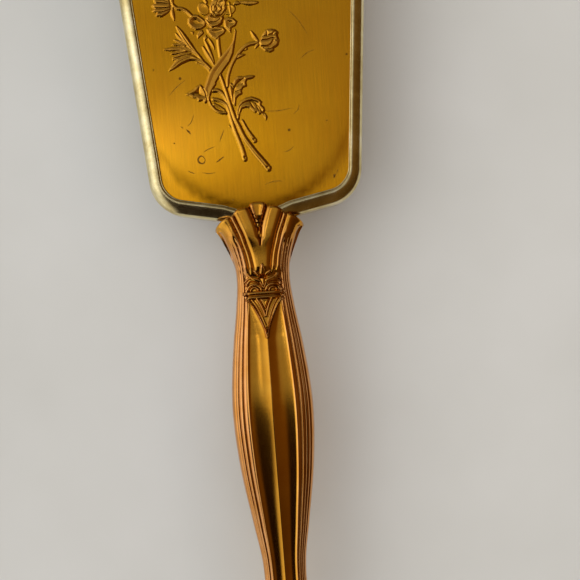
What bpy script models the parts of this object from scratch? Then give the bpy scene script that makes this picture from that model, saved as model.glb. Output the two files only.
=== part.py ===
"""Vanity hairbrush: gilt metal head frame, back panel, drawn bristle rows and a two-shell handle.

The brush lies with its bristle tips on Z = 0.  +Y runs from the handle to the far end of the head,
+Z comes out of the back panel, and the X = 0 plane divides the brush into two like halves.
"""
import math

import bmesh
import bpy
from mathutils import Matrix, Vector

MM = 0.001
GAP = 0.3 * MM                    # clearance between pieces that rest on or pass through each other

# Head, measured from the joint line where the handle's widest point meets the head
HEAD_LENGTH = 111.1 * MM          # joint line to the corner of the crown before it is rounded
HEAD_HALF_NEAR = 30.9 * MM        # half width at the corner nearer the handle
HEAD_HALF_FAR = 40.0 * MM         # half width at the far corner
NEAR_CORNER_RISE = 2.8 * MM       # how far the near corner stands beyond the joint line
CROWN_RISE = 5.6 * MM             # the crown's height over the far corners
NECK_HALF = 11.0 * MM             # half width of the head's point inside the handle
NECK_SETBACK = 1.2 * MM           # the point's shoulders, behind the joint line
NECK_POINT = 5.4 * MM             # the point's end, behind the joint line
CORNER_RADIUS_NEAR = 11.5 * MM
CORNER_RADIUS_FAR = 14.0 * MM
CROWN_RADIUS = 180.0 * MM
NECK_RADIUS = 8.0 * MM

# Rim frame, a channel of sheet brass
RIM_SHEET = 0.6 * MM
RIM_BAND_SIDE = 4.0 * MM          # width of the band on the back, along the sides and the crown
RIM_BAND_LOWER = 4.75 * MM        # and beside the handle
RIM_SHOULDER = 2.0 * MM           # radius between the outer wall and the band
RIM_FLANGE = 2.2 * MM             # width of the flange crimped under the bristle block
RIM_LIP = 0.9 * MM                # depth of the lip round the panel

# Head fillings
EXPOSED_BRISTLE = 16.3 * MM
BLOCK_THICKNESS = 6.7 * MM
WIRE_DIAMETER = 0.8 * MM
CARD_THICKNESS = 1.0 * MM
PANEL_SHEET = 0.5 * MM
PANEL_DOME = 0.9 * MM

# Bristles
ROWS_EACH_SIDE = 4                # rows on each side of the middle row
ROW_PITCH_NEAR = 6.15 * MM        # distance between rows at the first tufts
ROW_PITCH_FAR = 7.5 * MM          # and at the last tufts
TANG_TO_TUFT = 3.5 * MM           # from the tang's end to the first tuft of the middle row
TUFT_PITCH = 7.15 * MM
TUFTS_MIDDLE_ROW = 13
TUFT_RADIUS_TIP = 2.0 * MM
TUFT_RADIUS_ROOT = 1.7 * MM
TUFT_SIDES = 6

# Handle, measured from the joint line towards its tip
HANDLE_LENGTH = 135.0 * MM
HANDLE_SHEET = 0.5 * MM
PALMETTE_TIPS = 3.7 * MM          # the palmette's outer tips, behind the joint line
PALMETTE_LAP = 7.0 * MM           # how far its middle reaches beyond the tips, over the rim
PALMETTE_RISE = 1.2 * MM          # the palmette's middle over the rim's band
SKIRT_REACH = 2.1 * MM            # how far the shell's side reaches back under the palmette
# Half widths along the handle, at shares of its length
HALF_WIDTHS = [(0.000, 13.4 * MM), (0.027, 13.4 * MM), (0.068, 10.5 * MM), (0.090, 9.2 * MM),
               (0.111, 8.3 * MM), (0.144, 8.0 * MM), (0.200, 8.7 * MM), (0.289, 10.5 * MM),
               (0.422, 12.1 * MM), (0.552, 11.1 * MM), (0.681, 8.4 * MM), (0.770, 6.5 * MM),
               (0.815, 6.3 * MM), (0.889, 7.4 * MM), (0.948, 8.6 * MM), (0.982, 7.3 * MM),
               (1.000, 3.6 * MM)]
# Cross-sections of a shell, from its middle line to its edge: share of half width, share of height
FLUTED_SECTION = [(0.00, 1.00), (0.10, 0.95), (0.28, 0.89), (0.46, 0.91), (0.60, 0.97),
                  (0.70, 0.90), (0.84, 0.76), (0.95, 0.56), (1.00, 0.34), (1.00, 0.00)]
PALMETTE_SECTION = [(0.00, 1.00), (0.10, 0.99), (0.28, 0.98), (0.46, 0.965), (0.60, 0.95),
                    (0.70, 0.92), (0.84, 0.87), (0.95, 0.76), (1.00, 0.55), (1.00, 0.00)]
PALMETTE_END = 0.09               # share of the length where the palmette's section starts to change
FLUTES_START = 0.24               # and where the flutes are full
SHELL_STATIONS = 20

# Core, tang and fasteners
CORE_START = 6.0 * MM             # behind the joint line
CORE_END_CLEARANCE = 9.0 * MM     # short of the handle's tip
CORE_STATIONS = 13
TANG_WIDTH = 9.0 * MM
TANG_THICKNESS = 1.6 * MM
TANG_IN_HEAD = 9.5 * MM
TANG_IN_HANDLE = 75.0 * MM
TANG_SCREW_SETBACKS = [8.0 * MM, 2.5 * MM]    # from the tang's end in the head
SCREW_RADIUS = 1.1 * MM
SCREW_HEAD_RADIUS = 2.0 * MM
SCREW_HEAD_HEIGHT = 1.0 * MM
SCREW_TIP_CLEARANCE = 1.0 * MM                # from the screw's tip to the block's bristle face
CORE_PIN_PLACES = [25.0 * MM, 60.0 * MM]      # behind the joint line
CORE_PIN_RADIUS = 1.0 * MM
CORE_PIN_SHORT = 0.2 * MM                     # how far each end stays inside the core
RIM_PIN_PLACES = [35.0 * MM, HEAD_LENGTH - 26.1 * MM]     # beyond the joint line
RIM_PIN_RADIUS = 0.6 * MM
RIM_PIN_LENGTH = 4.2 * MM
RIM_PIN_HEAD_RADIUS = 1.1 * MM
RIM_PIN_HEAD_HEIGHT = 0.6 * MM
RIM_PIN_ABOVE_BLOCK_FACE = 2.8 * MM

# Heights, stacked up from the bristle tips
BLOCK_FACE = EXPOSED_BRISTLE
BLOCK_BACK = BLOCK_FACE + BLOCK_THICKNESS
WIRE_LEVEL = BLOCK_BACK + GAP + WIRE_DIAMETER / 2
CARD_BOTTOM = WIRE_LEVEL + WIRE_DIAMETER / 2 + GAP
CARD_TOP = CARD_BOTTOM + CARD_THICKNESS
PANEL_EDGE_BOTTOM = CARD_TOP + GAP
PANEL_EDGE_TOP = PANEL_EDGE_BOTTOM + PANEL_SHEET
RIM_TOP = PANEL_EDGE_TOP + GAP + RIM_LIP
RIM_BOTTOM = BLOCK_FACE - GAP - RIM_SHEET
HALF_RIM = (RIM_TOP - RIM_BOTTOM) / 2
SPLIT_LEVEL = RIM_BOTTOM + HALF_RIM           # where the two handle shells meet

# Half heights along the handle, at shares of its length: the palmette clears the rim
HALF_HEIGHTS = [(0.000, HALF_RIM + PALMETTE_RISE), (0.060, HALF_RIM + 1.0 * MM),
                (0.110, 6.5 * MM), (0.150, 6.2 * MM), (0.300, 6.7 * MM), (0.422, 7.0 * MM),
                (0.600, 6.3 * MM), (0.800, 4.8 * MM), (0.930, 5.0 * MM), (0.980, 3.7 * MM),
                (1.000, 1.6 * MM)]

FIRST_TUFT = TANG_IN_HEAD + TANG_TO_TUFT      # first tuft of the middle row, beyond the joint line
ROUND_SIDES = 12
CUT_MARGIN = 1.0 * MM             # how far a cutter reaches past the face it opens


def clear_scene():
    for thing in list(bpy.data.objects):
        bpy.data.objects.remove(thing, do_unlink=True)


def new_collection(name):
    collection = bpy.data.collections.new(name)
    bpy.context.scene.collection.children.link(collection)
    return collection


def new_material(name, color, metallic, roughness):
    material = bpy.data.materials.new(name)
    material.use_nodes = True
    shader = material.node_tree.nodes["Principled BSDF"]
    shader.inputs["Base Color"].default_value = (*color, 1.0)
    shader.inputs["Metallic"].default_value = metallic
    shader.inputs["Roughness"].default_value = roughness
    return material


clear_scene()
PIECES = new_collection("vanity_hairbrush")
CUTTERS = new_collection("vanity_hairbrush_cutters")

GILT_RIM = new_material("gilt_brass_rim", (0.42, 0.32, 0.11), 1.0, 0.25)
GILT_PANEL = new_material("gilt_brass_panel", (0.55, 0.30, 0.04), 1.0, 0.35)
GILT_HANDLE = new_material("copper_gilt_handle", (0.60, 0.30, 0.08), 1.0, 0.22)
BRASS = new_material("plain_brass", (0.60, 0.45, 0.18), 1.0, 0.35)
CARD = new_material("grey_card", (0.42, 0.38, 0.32), 0.0, 0.9)
WOOD = new_material("lacquered_beech", (0.42, 0.24, 0.10), 0.0, 0.45)
CORE_WOOD = new_material("plain_beech", (0.55, 0.38, 0.20), 0.0, 0.7)
NYLON = new_material("cream_nylon", (0.80, 0.74, 0.60), 0.0, 0.4)
STEEL = new_material("bright_steel", (0.55, 0.55, 0.57), 1.0, 0.3)


def add_object(name, mesh, material, collection):
    thing = bpy.data.objects.new(name, mesh)
    collection.objects.link(thing)
    if material:
        mesh.materials.append(material)
    return thing


def mesh_from_bmesh(name, shape):
    bmesh.ops.recalc_face_normals(shape, faces=shape.faces)
    mesh = bpy.data.meshes.new(name)
    shape.to_mesh(mesh)
    shape.free()
    return mesh


def shade_round(mesh, angle=35.0):
    mesh.shade_smooth()
    mesh.set_sharp_from_angle(angle=math.radians(angle))


def as_cutter(name, mesh):
    cutter = add_object(name, mesh, None, CUTTERS)
    cutter.hide_render = True
    cutter.display_type = "WIRE"
    return cutter


def boolean(thing, operation, other):
    modifier = thing.modifiers.new(f"{operation.lower()} {other.name}", "BOOLEAN")
    modifier.operation = operation
    modifier.solver = "EXACT"
    modifier.object = other


def box_mesh(name, low, high):
    shape = bmesh.new()
    low = Vector(low)
    high = Vector(high)
    size = Matrix.Diagonal((high - low).to_4d())
    size[3][3] = 1.0
    bmesh.ops.create_cube(shape, size=1.0, matrix=Matrix.Translation((low + high) / 2) @ size)
    return mesh_from_bmesh(name, shape)


def add_rod(shape, start, end, start_radius, end_radius, sides=ROUND_SIDES, turn=0.0):
    """Adds a closed round or tapered rod between two points to a bmesh."""
    start = Vector(start)
    end = Vector(end)
    along = end - start
    facing = Vector((0.0, 0.0, 1.0)).rotation_difference(along).to_matrix().to_4x4()
    place = Matrix.Translation((start + end) / 2) @ facing @ Matrix.Rotation(turn, 4, "Z")
    bmesh.ops.create_cone(shape, cap_ends=True, segments=sides, radius1=start_radius,
                          radius2=end_radius, depth=along.length, matrix=place)


def rod_mesh(name, start, end, radius, sides=ROUND_SIDES):
    shape = bmesh.new()
    add_rod(shape, start, end, radius, radius, sides)
    return mesh_from_bmesh(name, shape)


# ---------------------------------------------------------------------------------------------
# The head's outline: straight edges between rounded corners, as seen from the back
# ---------------------------------------------------------------------------------------------

# One half, from the point inside the handle to the crown: x, y, radius, steps of the arc
HALF_CORNERS = [
    (NECK_HALF, -NECK_SETBACK, NECK_RADIUS, 2),
    (HEAD_HALF_NEAR, NEAR_CORNER_RISE, CORNER_RADIUS_NEAR, 6),
    (HEAD_HALF_FAR, HEAD_LENGTH - CROWN_RISE, CORNER_RADIUS_FAR, 6),
]
HEAD_CORNERS = (
    [(0.0, -NECK_POINT, NECK_RADIUS, 4)]
    + HALF_CORNERS
    + [(0.0, HEAD_LENGTH, CROWN_RADIUS, 6)]
    + [(-x, y, radius, steps) for x, y, radius, steps in reversed(HALF_CORNERS)]
)
HALF_BANDS = [RIM_BAND_LOWER, RIM_BAND_LOWER, RIM_BAND_SIDE, RIM_BAND_SIDE]
RIM_BANDS = HALF_BANDS + HALF_BANDS[::-1]     # the band's width on each edge between two corners
SMALLEST_CORNER = 0.5 * MM


def edge_direction(index):
    here = Vector(HEAD_CORNERS[index % len(HEAD_CORNERS)][:2])
    after = Vector(HEAD_CORNERS[(index + 1) % len(HEAD_CORNERS)][:2])
    return (after - here).normalized()


def head_outline(inset=0.0, band_share=0.0):
    """Outline moved inwards on each edge by inset plus a share of the rim band's width there."""
    corners = []
    for index, (x, y, radius, steps) in enumerate(HEAD_CORNERS):
        along_in = edge_direction(index - 1)
        along_out = edge_direction(index)
        turn = math.atan2(along_in.cross(along_out), along_in.dot(along_out))
        move_in = inset + band_share * RIM_BANDS[index - 1]
        move_out = inset + band_share * RIM_BANDS[index]
        # the moved corner lies move_in inside one edge and move_out inside the other
        corner = Vector((x, y)) + (along_out * move_in - along_in * move_out) / math.sin(turn)
        new_radius = radius - math.copysign((move_in + move_out) / 2, turn)
        corners.append((corner, along_in, turn, max(new_radius, SMALLEST_CORNER), steps))
    points = []
    for corner, along_in, turn, radius, steps in corners:
        side = math.copysign(1.0, turn)
        start = corner - along_in * radius * math.tan(abs(turn) / 2)
        centre = start + Vector((-along_in.y, along_in.x)) * side * radius
        for step in range(steps + 1):
            points.append(centre + Matrix.Rotation(turn * step / steps, 2) @ (start - centre))
    return points


JOINT_Y = (HANDLE_LENGTH - max(point.y for point in head_outline())) / 2


def ring_points(outline, level):
    return [(point.x, point.y + JOINT_Y, level) for point in outline]


def add_ring_faces(shape, ring, next_ring):
    count = len(ring)
    for i in range(count):
        j = (i + 1) % count
        shape.faces.new((ring[i], ring[j], next_ring[j], next_ring[i]))


def solid_from_outline(name, outline, low, high):
    """A flat-topped slab with the given outline."""
    shape = bmesh.new()
    lower = [shape.verts.new(point) for point in ring_points(outline, low)]
    upper = [shape.verts.new(point) for point in ring_points(outline, high)]
    add_ring_faces(shape, lower, upper)
    shape.faces.new(lower)
    shape.faces.new(upper)
    return mesh_from_bmesh(name, shape)


# ---------------------------------------------------------------------------------------------
# Head: rim frame, back panel, card and bristle block
# ---------------------------------------------------------------------------------------------

def make_rim_frame():
    """A channel that wraps the head: crimped flange, outer wall, shoulder, band and inner lip."""
    shoulder_inner = RIM_SHOULDER - RIM_SHEET
    top_inner = RIM_TOP - RIM_SHEET
    section = [
        (RIM_FLANGE, 0.0, RIM_BOTTOM),
        (RIM_SHEET, 0.0, RIM_BOTTOM),
        (0.0, 0.0, RIM_BOTTOM + RIM_SHEET),
    ]
    arc = [math.radians(angle) for angle in (0.0, 30.0, 60.0, 90.0)]
    for angle in arc:
        section.append((RIM_SHOULDER * (1 - math.cos(angle)), 0.0,
                        RIM_TOP - RIM_SHOULDER * (1 - math.sin(angle))))
    section += [
        (-RIM_SHEET, 1.0, RIM_TOP),
        (0.0, 1.0, RIM_TOP - RIM_SHEET / 2),
        (0.0, 1.0, RIM_TOP - RIM_LIP),
        (-RIM_SHEET, 1.0, RIM_TOP - RIM_LIP),
        (-RIM_SHEET, 1.0, top_inner),
    ]
    for angle in reversed(arc):
        section.append((RIM_SHEET + shoulder_inner * (1 - math.cos(angle)), 0.0,
                        top_inner - shoulder_inner * (1 - math.sin(angle))))
    section += [
        (RIM_SHEET, 0.0, RIM_BOTTOM + RIM_SHEET),
        (RIM_FLANGE, 0.0, RIM_BOTTOM + RIM_SHEET),
    ]
    shape = bmesh.new()
    rings = []
    for inset, share, level in section:
        outline = head_outline(inset, share)
        rings.append([shape.verts.new(point) for point in ring_points(outline, level)])
    for index, ring in enumerate(rings):
        add_ring_faces(shape, ring, rings[(index + 1) % len(rings)])
    mesh = mesh_from_bmesh("rim_frame", shape)
    shade_round(mesh)
    return add_object("rim_frame", mesh, GILT_RIM, PIECES)


HEAD_MIDDLE = Vector((0.0, HEAD_LENGTH / 2))
PANEL_INSET = RIM_SHEET + 2 * GAP
DOME_SHARES = (1.0, 0.7, 0.4)     # rings of the dome, as shares of the panel's opening


def domed_rings(level):
    """Outlines and levels of a sheet that is flat under the rim's lip and domed inside it."""
    rings = [(head_outline(PANEL_INSET), level)]
    opening = head_outline(GAP, 1.0)
    for share in DOME_SHARES:
        outline = [HEAD_MIDDLE + (point - HEAD_MIDDLE) * share for point in opening]
        rings.append((outline, level + PANEL_DOME * (1 - share ** 2)))
    return rings


def add_domed_surface(shape, level):
    rings = []
    for outline, ring_level in domed_rings(level):
        rings.append([shape.verts.new(point) for point in ring_points(outline, ring_level)])
    for ring, next_ring in zip(rings, rings[1:]):
        add_ring_faces(shape, ring, next_ring)
    top = shape.verts.new((HEAD_MIDDLE.x, HEAD_MIDDLE.y + JOINT_Y, level + PANEL_DOME))
    last = rings[-1]
    for i in range(len(last)):
        shape.faces.new((last[i], last[(i + 1) % len(last)], top))
    return rings[0]


def make_back_panel():
    """Stamped sheet, slightly domed, with a flat edge that sits under the rim's lip."""
    shape = bmesh.new()
    add_domed_surface(shape, PANEL_EDGE_TOP)
    mesh = mesh_from_bmesh("back_panel", shape)
    shade_round(mesh)
    panel = add_object("back_panel", mesh, GILT_PANEL, PIECES)
    sheet = panel.modifiers.new("sheet", "SOLIDIFY")
    sheet.thickness = PANEL_SHEET
    sheet.offset = -1.0
    return panel


def make_backing_card():
    """Card pad between the panel and the draw wires, domed like the panel on its upper side."""
    shape = bmesh.new()
    edge = add_domed_surface(shape, CARD_TOP)
    lower = [shape.verts.new(point)
             for point in ring_points(head_outline(PANEL_INSET), CARD_BOTTOM)]
    add_ring_faces(shape, edge, lower)
    shape.faces.new(lower)
    return add_object("panel_backing_card", mesh_from_bmesh("panel_backing_card", shape), CARD, PIECES)


def make_bristle_block():
    outline = head_outline(RIM_SHEET + GAP)
    mesh = solid_from_outline("bristle_block", outline, BLOCK_FACE, BLOCK_BACK)
    return add_object("bristle_block", mesh, WOOD, PIECES)


# ---------------------------------------------------------------------------------------------
# Bristle rows: tufts folded over a brass draw wire that runs along the block's back
# ---------------------------------------------------------------------------------------------

LAST_TUFT = FIRST_TUFT + (TUFTS_MIDDLE_ROW - 1) * TUFT_PITCH
HOLE_GROWTH = GAP / math.cos(math.pi / TUFT_SIDES)      # keeps the gap on the flats of the sides
EDGE_MARGIN = RIM_FLANGE + TUFT_RADIUS_TIP + 3.0 * MM   # tuft middle to the head's edge, at least


def is_inside(outline, x, y):
    """Whether a point lies inside a closed outline, by counting crossings of a ray along +X."""
    inside = False
    for here, after in zip(outline, outline[1:] + outline[:1]):
        if (here.y > y) != (after.y > y):
            crossing = here.x + (y - here.y) * (after.x - here.x) / (after.y - here.y)
            if x < crossing:
                inside = not inside
    return inside


def row_tufts(row):
    """Tuft places (x, y) of one row; rows fan out with the head, and every second one is staggered."""
    staggered = row % 2 == 1
    count = TUFTS_MIDDLE_ROW - 1 if staggered else TUFTS_MIDDLE_ROW
    start = FIRST_TUFT + (TUFT_PITCH / 2 if staggered else 0.0)
    field = head_outline(EDGE_MARGIN)
    places = []
    for index in range(count):
        y = start + index * TUFT_PITCH
        along = (y - FIRST_TUFT) / (LAST_TUFT - FIRST_TUFT)
        x = row * (ROW_PITCH_NEAR + (ROW_PITCH_FAR - ROW_PITCH_NEAR) * along)
        if is_inside(field, x, y):
            places.append((x, y + JOINT_Y))
    return places


ROWS = range(-ROWS_EACH_SIDE, ROWS_EACH_SIDE + 1)
WIRE_END = 1.6 * MM               # the draw wire runs on past the last tufts


def make_bristle_row(number, row):
    places = row_tufts(row)
    name = f"bristle_row_{number}"
    first = Vector((*places[0], WIRE_LEVEL))
    last = Vector((*places[-1], WIRE_LEVEL))
    beyond = (last - first).normalized() * WIRE_END
    wire = rod_mesh(name, first - beyond, last + beyond, WIRE_DIAMETER / 2, TUFT_SIDES)
    piece = add_object(name, wire, NYLON, PIECES)
    tufts = bmesh.new()
    for x, y in places:
        add_rod(tufts, (x, y, 0.0), (x, y, WIRE_LEVEL + WIRE_DIAMETER / 8),
                TUFT_RADIUS_TIP, TUFT_RADIUS_ROOT, TUFT_SIDES)
    boolean(piece, "UNION", as_cutter(f"tufts_{number}", mesh_from_bmesh(f"tufts_{number}", tufts)))
    return piece


def drill_block(block):
    holes = bmesh.new()
    depth_share = BLOCK_FACE / WIRE_LEVEL
    radius_at_face = TUFT_RADIUS_TIP + (TUFT_RADIUS_ROOT - TUFT_RADIUS_TIP) * depth_share
    for row in ROWS:
        for x, y in row_tufts(row):
            add_rod(holes, (x, y, BLOCK_FACE - CUT_MARGIN), (x, y, BLOCK_BACK + CUT_MARGIN),
                    radius_at_face + HOLE_GROWTH, radius_at_face + HOLE_GROWTH, TUFT_SIDES)
    boolean(block, "DIFFERENCE", as_cutter("tuft_holes", mesh_from_bmesh("tuft_holes", holes)))


# ---------------------------------------------------------------------------------------------
# Handle: two stamped shells that meet at the split level, round a wooden core
# ---------------------------------------------------------------------------------------------

def smooth_value(points, share):
    """Value of a smooth curve through (share, value) points."""
    for index in range(len(points) - 1):
        if share <= points[index + 1][0]:
            break
    (x0, y0), (x1, y1) = points[index], points[index + 1]
    before = points[max(index - 1, 0)]
    after = points[min(index + 2, len(points) - 1)]
    slope0 = (y1 - before[1]) / (x1 - before[0])
    slope1 = (after[1] - y0) / (after[0] - x0)
    t = (share - x0) / (x1 - x0)
    width = x1 - x0
    return ((2 * t ** 3 - 3 * t ** 2 + 1) * y0 + (t ** 3 - 2 * t ** 2 + t) * width * slope0
            + (3 * t ** 2 - 2 * t ** 3) * y1 + (t ** 3 - t ** 2) * width * slope1)


def half_width(distance):
    return smooth_value(HALF_WIDTHS, max(distance / HANDLE_LENGTH, 0.0))


def half_height(distance):
    return max(smooth_value(HALF_HEIGHTS, max(distance / HANDLE_LENGTH, 0.0)), 0.0)


def ease(share):
    share = min(max(share, 0.0), 1.0)
    return share * share * (3 - 2 * share)


def shell_section(distance):
    """The section's (share of width, share of height) points, palmette blended into flutes."""
    share = distance / HANDLE_LENGTH
    fluted = ease((share - PALMETTE_END) / (FLUTES_START - PALMETTE_END))
    return [(wide, plain + (flute - plain) * fluted)
            for (wide, plain), (_, flute) in zip(PALMETTE_SECTION, FLUTED_SECTION)]


LAP_SHAPE = 2.2                   # how squarely the palmette's top edge bends back to its tips
LAP_FADE = 12.0 * MM              # over this length the sections straighten out again
TIP_CROWDING = 1.6                # stations come closer together towards the tip


def shell_station(index):
    share = index / (SHELL_STATIONS - 1)
    crowded = 1 - (1 - share) ** TIP_CROWDING
    return PALMETTE_TIPS + (HANDLE_LENGTH - PALMETTE_TIPS) * crowded


def make_handle_shell(name, side):
    """One stamped half: side +1 is the half on the back, -1 the half on the bristle side."""
    shape = bmesh.new()
    rings = []
    for index in range(SHELL_STATIONS):
        distance = shell_station(index)
        fade = max(1 - (distance - PALMETTE_TIPS) / LAP_FADE, 0.0)
        section = shell_section(distance)
        last = len(section) - 1
        ring = []
        for mirror in (-1, 1):
            order = range(last, 0, -1) if mirror < 0 else range(last + 1)
            for point in order:
                wide, high = section[point]
                lap = PALMETTE_LAP * (1 - wide ** LAP_SHAPE)
                if wide == 1.0:
                    lap = SKIRT_REACH
                along = distance - lap * fade
                level = GAP / 2 + half_height(distance) * high
                ring.append(shape.verts.new((mirror * wide * half_width(distance),
                                             JOINT_Y - along, SPLIT_LEVEL + side * level)))
        rings.append(ring)
    for ring, next_ring in zip(rings, rings[1:]):
        for i in range(len(ring) - 1):
            corners = (ring[i], ring[i + 1], next_ring[i + 1], next_ring[i])
            shape.faces.new(corners if side < 0 else corners[::-1])
    shape.faces.new(rings[-1] if side < 0 else rings[-1][::-1])
    mesh = bpy.data.meshes.new(name)
    shape.to_mesh(mesh)
    shape.free()
    shade_round(mesh, 30.0)
    shell = add_object(name, mesh, GILT_HANDLE, PIECES)
    sheet = shell.modifiers.new("sheet", "SOLIDIFY")
    sheet.thickness = HANDLE_SHEET
    sheet.offset = -1.0
    return shell


CORE_SIDE_GAP = HANDLE_SHEET + GAP + 0.1 * MM     # core to the shell's outer face, at the side
CORE_TOP_SHARE = 0.89             # the deepest share of the height that the flutes reach
CORE_CORNERS = [(0.60, 1.0), (0.90, 0.45)]    # share of the core's half width, share of its height


def core_half_height(distance):
    return half_height(distance) * CORE_TOP_SHARE - HANDLE_SHEET - GAP


def make_handle_core():
    shape = bmesh.new()
    rings = []
    core_end = HANDLE_LENGTH - CORE_END_CLEARANCE
    for index in range(CORE_STATIONS):
        distance = CORE_START + (core_end - CORE_START) * index / (CORE_STATIONS - 1)
        wide = half_width(distance) - CORE_SIDE_GAP
        high = core_half_height(distance)
        quarter = [(wide * across, high * up) for across, up in CORE_CORNERS]
        section = quarter + [(x, -z) for x, z in reversed(quarter)]
        section += [(-x, z) for x, z in reversed(section)]
        rings.append([shape.verts.new((x, JOINT_Y - distance, SPLIT_LEVEL + z))
                      for x, z in section])
    for ring, next_ring in zip(rings, rings[1:]):
        add_ring_faces(shape, ring, next_ring)
    shape.faces.new(rings[0])
    shape.faces.new(rings[-1])
    return add_object("handle_core", mesh_from_bmesh("handle_core", shape), CORE_WOOD, PIECES)


# ---------------------------------------------------------------------------------------------
# Tang and fasteners
# ---------------------------------------------------------------------------------------------

def tang_box(name, clearance, back_level):
    """The tang's own box, grown by a clearance and, where it is let in, up to an open back."""
    low = (-TANG_WIDTH / 2 - clearance, JOINT_Y - TANG_IN_HANDLE - clearance,
           SPLIT_LEVEL - TANG_THICKNESS / 2 - clearance)
    high = (TANG_WIDTH / 2 + clearance, JOINT_Y + TANG_IN_HEAD + clearance, back_level)
    return box_mesh(name, low, high)


TANG_TOP = SPLIT_LEVEL + TANG_THICKNESS / 2
TANG_END_Y = JOINT_Y + TANG_IN_HEAD


def make_tang():
    mesh = tang_box("tang", 0.0, TANG_TOP)
    tang = add_object("tang", mesh, STEEL, PIECES)
    for number, setback in enumerate(TANG_SCREW_SETBACKS, 1):
        drill_down(tang, f"tang_screw_hole_{number}", TANG_END_Y - setback, SCREW_RADIUS + GAP,
                   TANG_TOP)
    for number, place in enumerate(CORE_PIN_PLACES, 1):
        drill_down(tang, f"tang_pin_hole_{number}", JOINT_Y - place, CORE_PIN_RADIUS + GAP, TANG_TOP)
    return tang


def drill_down(thing, name, y, radius, top, bottom=0.0):
    """Cuts a round hole on the middle line from above top down to bottom."""
    mesh = rod_mesh(name, (0.0, y, bottom), (0.0, y, top + CUT_MARGIN), radius)
    boolean(thing, "DIFFERENCE", as_cutter(name, mesh))


def make_tang_screw(number, setback):
    """Round-headed wood screw, turned about its own axis from the head down."""
    head_bottom = TANG_TOP + GAP
    tip = BLOCK_FACE + SCREW_TIP_CLEARANCE
    head_edge = head_bottom + SCREW_HEAD_HEIGHT / 2
    profile = [
        (0.0, head_bottom + SCREW_HEAD_HEIGHT),
        (SCREW_HEAD_RADIUS * 0.7, head_bottom + SCREW_HEAD_HEIGHT * 0.85),
        (SCREW_HEAD_RADIUS, head_edge),
        (SCREW_HEAD_RADIUS, head_bottom),
        (SCREW_RADIUS, head_bottom),
        (SCREW_RADIUS, tip + SCREW_RADIUS),
        (0.0, tip),
    ]
    screw = turned_piece(f"tang_screw_{number}", profile, STEEL)
    screw.location = (0.0, TANG_END_Y - setback, 0.0)
    return screw


def turned_piece(name, profile, material):
    """A profile of (radius, height) points from top to bottom, turned about Z."""
    mesh = bpy.data.meshes.new(name)
    edges = [(i, i + 1) for i in range(len(profile) - 1)]
    mesh.from_pydata([(radius, 0.0, height) for radius, height in profile], edges, [])
    piece = add_object(name, mesh, material, PIECES)
    screw = piece.modifiers.new("turned", "SCREW")
    screw.steps = ROUND_SIDES
    screw.render_steps = ROUND_SIDES
    screw.use_merge_vertices = True
    screw.merge_threshold = 0.00001
    screw.use_smooth_shade = True
    return piece


def make_core_pin(number, place):
    reach = core_half_height(place) - CORE_PIN_SHORT
    y = JOINT_Y - place
    mesh = rod_mesh(f"core_pin_{number}", (0.0, y, SPLIT_LEVEL - reach),
                    (0.0, y, SPLIT_LEVEL + reach), CORE_PIN_RADIUS)
    shade_round(mesh)
    return add_object(f"core_pin_{number}", mesh, BRASS, PIECES)


RIM_PIN_LEVEL = BLOCK_FACE + RIM_PIN_ABOVE_BLOCK_FACE


def rim_pin_place(side, place):
    """A pin's point on the rim's outer wall and its outward direction."""
    along = edge_direction(2)
    slope = along.x / along.y
    x = HEAD_HALF_NEAR + (place - NEAR_CORNER_RISE) * slope
    point = Vector((side * x, JOINT_Y + place, RIM_PIN_LEVEL))
    return point, Vector((side * along.y, -along.x, 0.0))


def make_rim_pin(number, side, place):
    """Brass pin with a low round head, driven through the rim into the block."""
    profile = [
        (0.0, GAP + RIM_PIN_HEAD_HEIGHT),
        (RIM_PIN_HEAD_RADIUS * 0.6, GAP + RIM_PIN_HEAD_HEIGHT * 0.8),
        (RIM_PIN_HEAD_RADIUS, GAP + RIM_PIN_HEAD_HEIGHT * 0.3),
        (RIM_PIN_HEAD_RADIUS, GAP),
        (RIM_PIN_RADIUS, GAP),
        (RIM_PIN_RADIUS, -RIM_PIN_LENGTH + RIM_PIN_RADIUS),
        (0.0, -RIM_PIN_LENGTH),
    ]
    pin = turned_piece(f"rim_pin_{number}", profile, BRASS)
    point, outward = rim_pin_place(side, place)
    pin.location = point
    pin.rotation_euler = Vector((0.0, 0.0, 1.0)).rotation_difference(outward).to_euler()
    return pin


def drill_for_rim_pins(rim, block):
    holes = bmesh.new()
    for side in (-1, 1):
        for place in RIM_PIN_PLACES:
            point, outward = rim_pin_place(side, place)
            add_rod(holes, point - outward * (RIM_PIN_LENGTH + GAP), point + outward * CUT_MARGIN,
                    RIM_PIN_RADIUS + GAP, RIM_PIN_RADIUS + GAP)
    cutter = as_cutter("rim_pin_holes", mesh_from_bmesh("rim_pin_holes", holes))
    boolean(rim, "DIFFERENCE", cutter)
    boolean(block, "DIFFERENCE", cutter)


# ---------------------------------------------------------------------------------------------
# Assembly
# ---------------------------------------------------------------------------------------------

rim_frame = make_rim_frame()
make_back_panel()
make_backing_card()
bristle_block = make_bristle_block()
for row_number, row_place in enumerate(ROWS, 1):
    make_bristle_row(row_number, row_place)
drill_block(bristle_block)
make_handle_shell("handle_front_shell", 1)
make_handle_shell("handle_back_shell", -1)
handle_core = make_handle_core()
make_tang()

# The tang passes through a slot in the rim, lies in a pocket in the block's back, and fills a
# slot in the core
tang_slot = as_cutter("tang_slot", tang_box("tang_slot", GAP, TANG_TOP + GAP))
tang_pocket = as_cutter("tang_pocket", tang_box("tang_pocket", GAP, BLOCK_BACK + CUT_MARGIN))
boolean(rim_frame, "DIFFERENCE", tang_slot)
boolean(handle_core, "DIFFERENCE", tang_slot)
boolean(bristle_block, "DIFFERENCE", tang_pocket)

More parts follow.
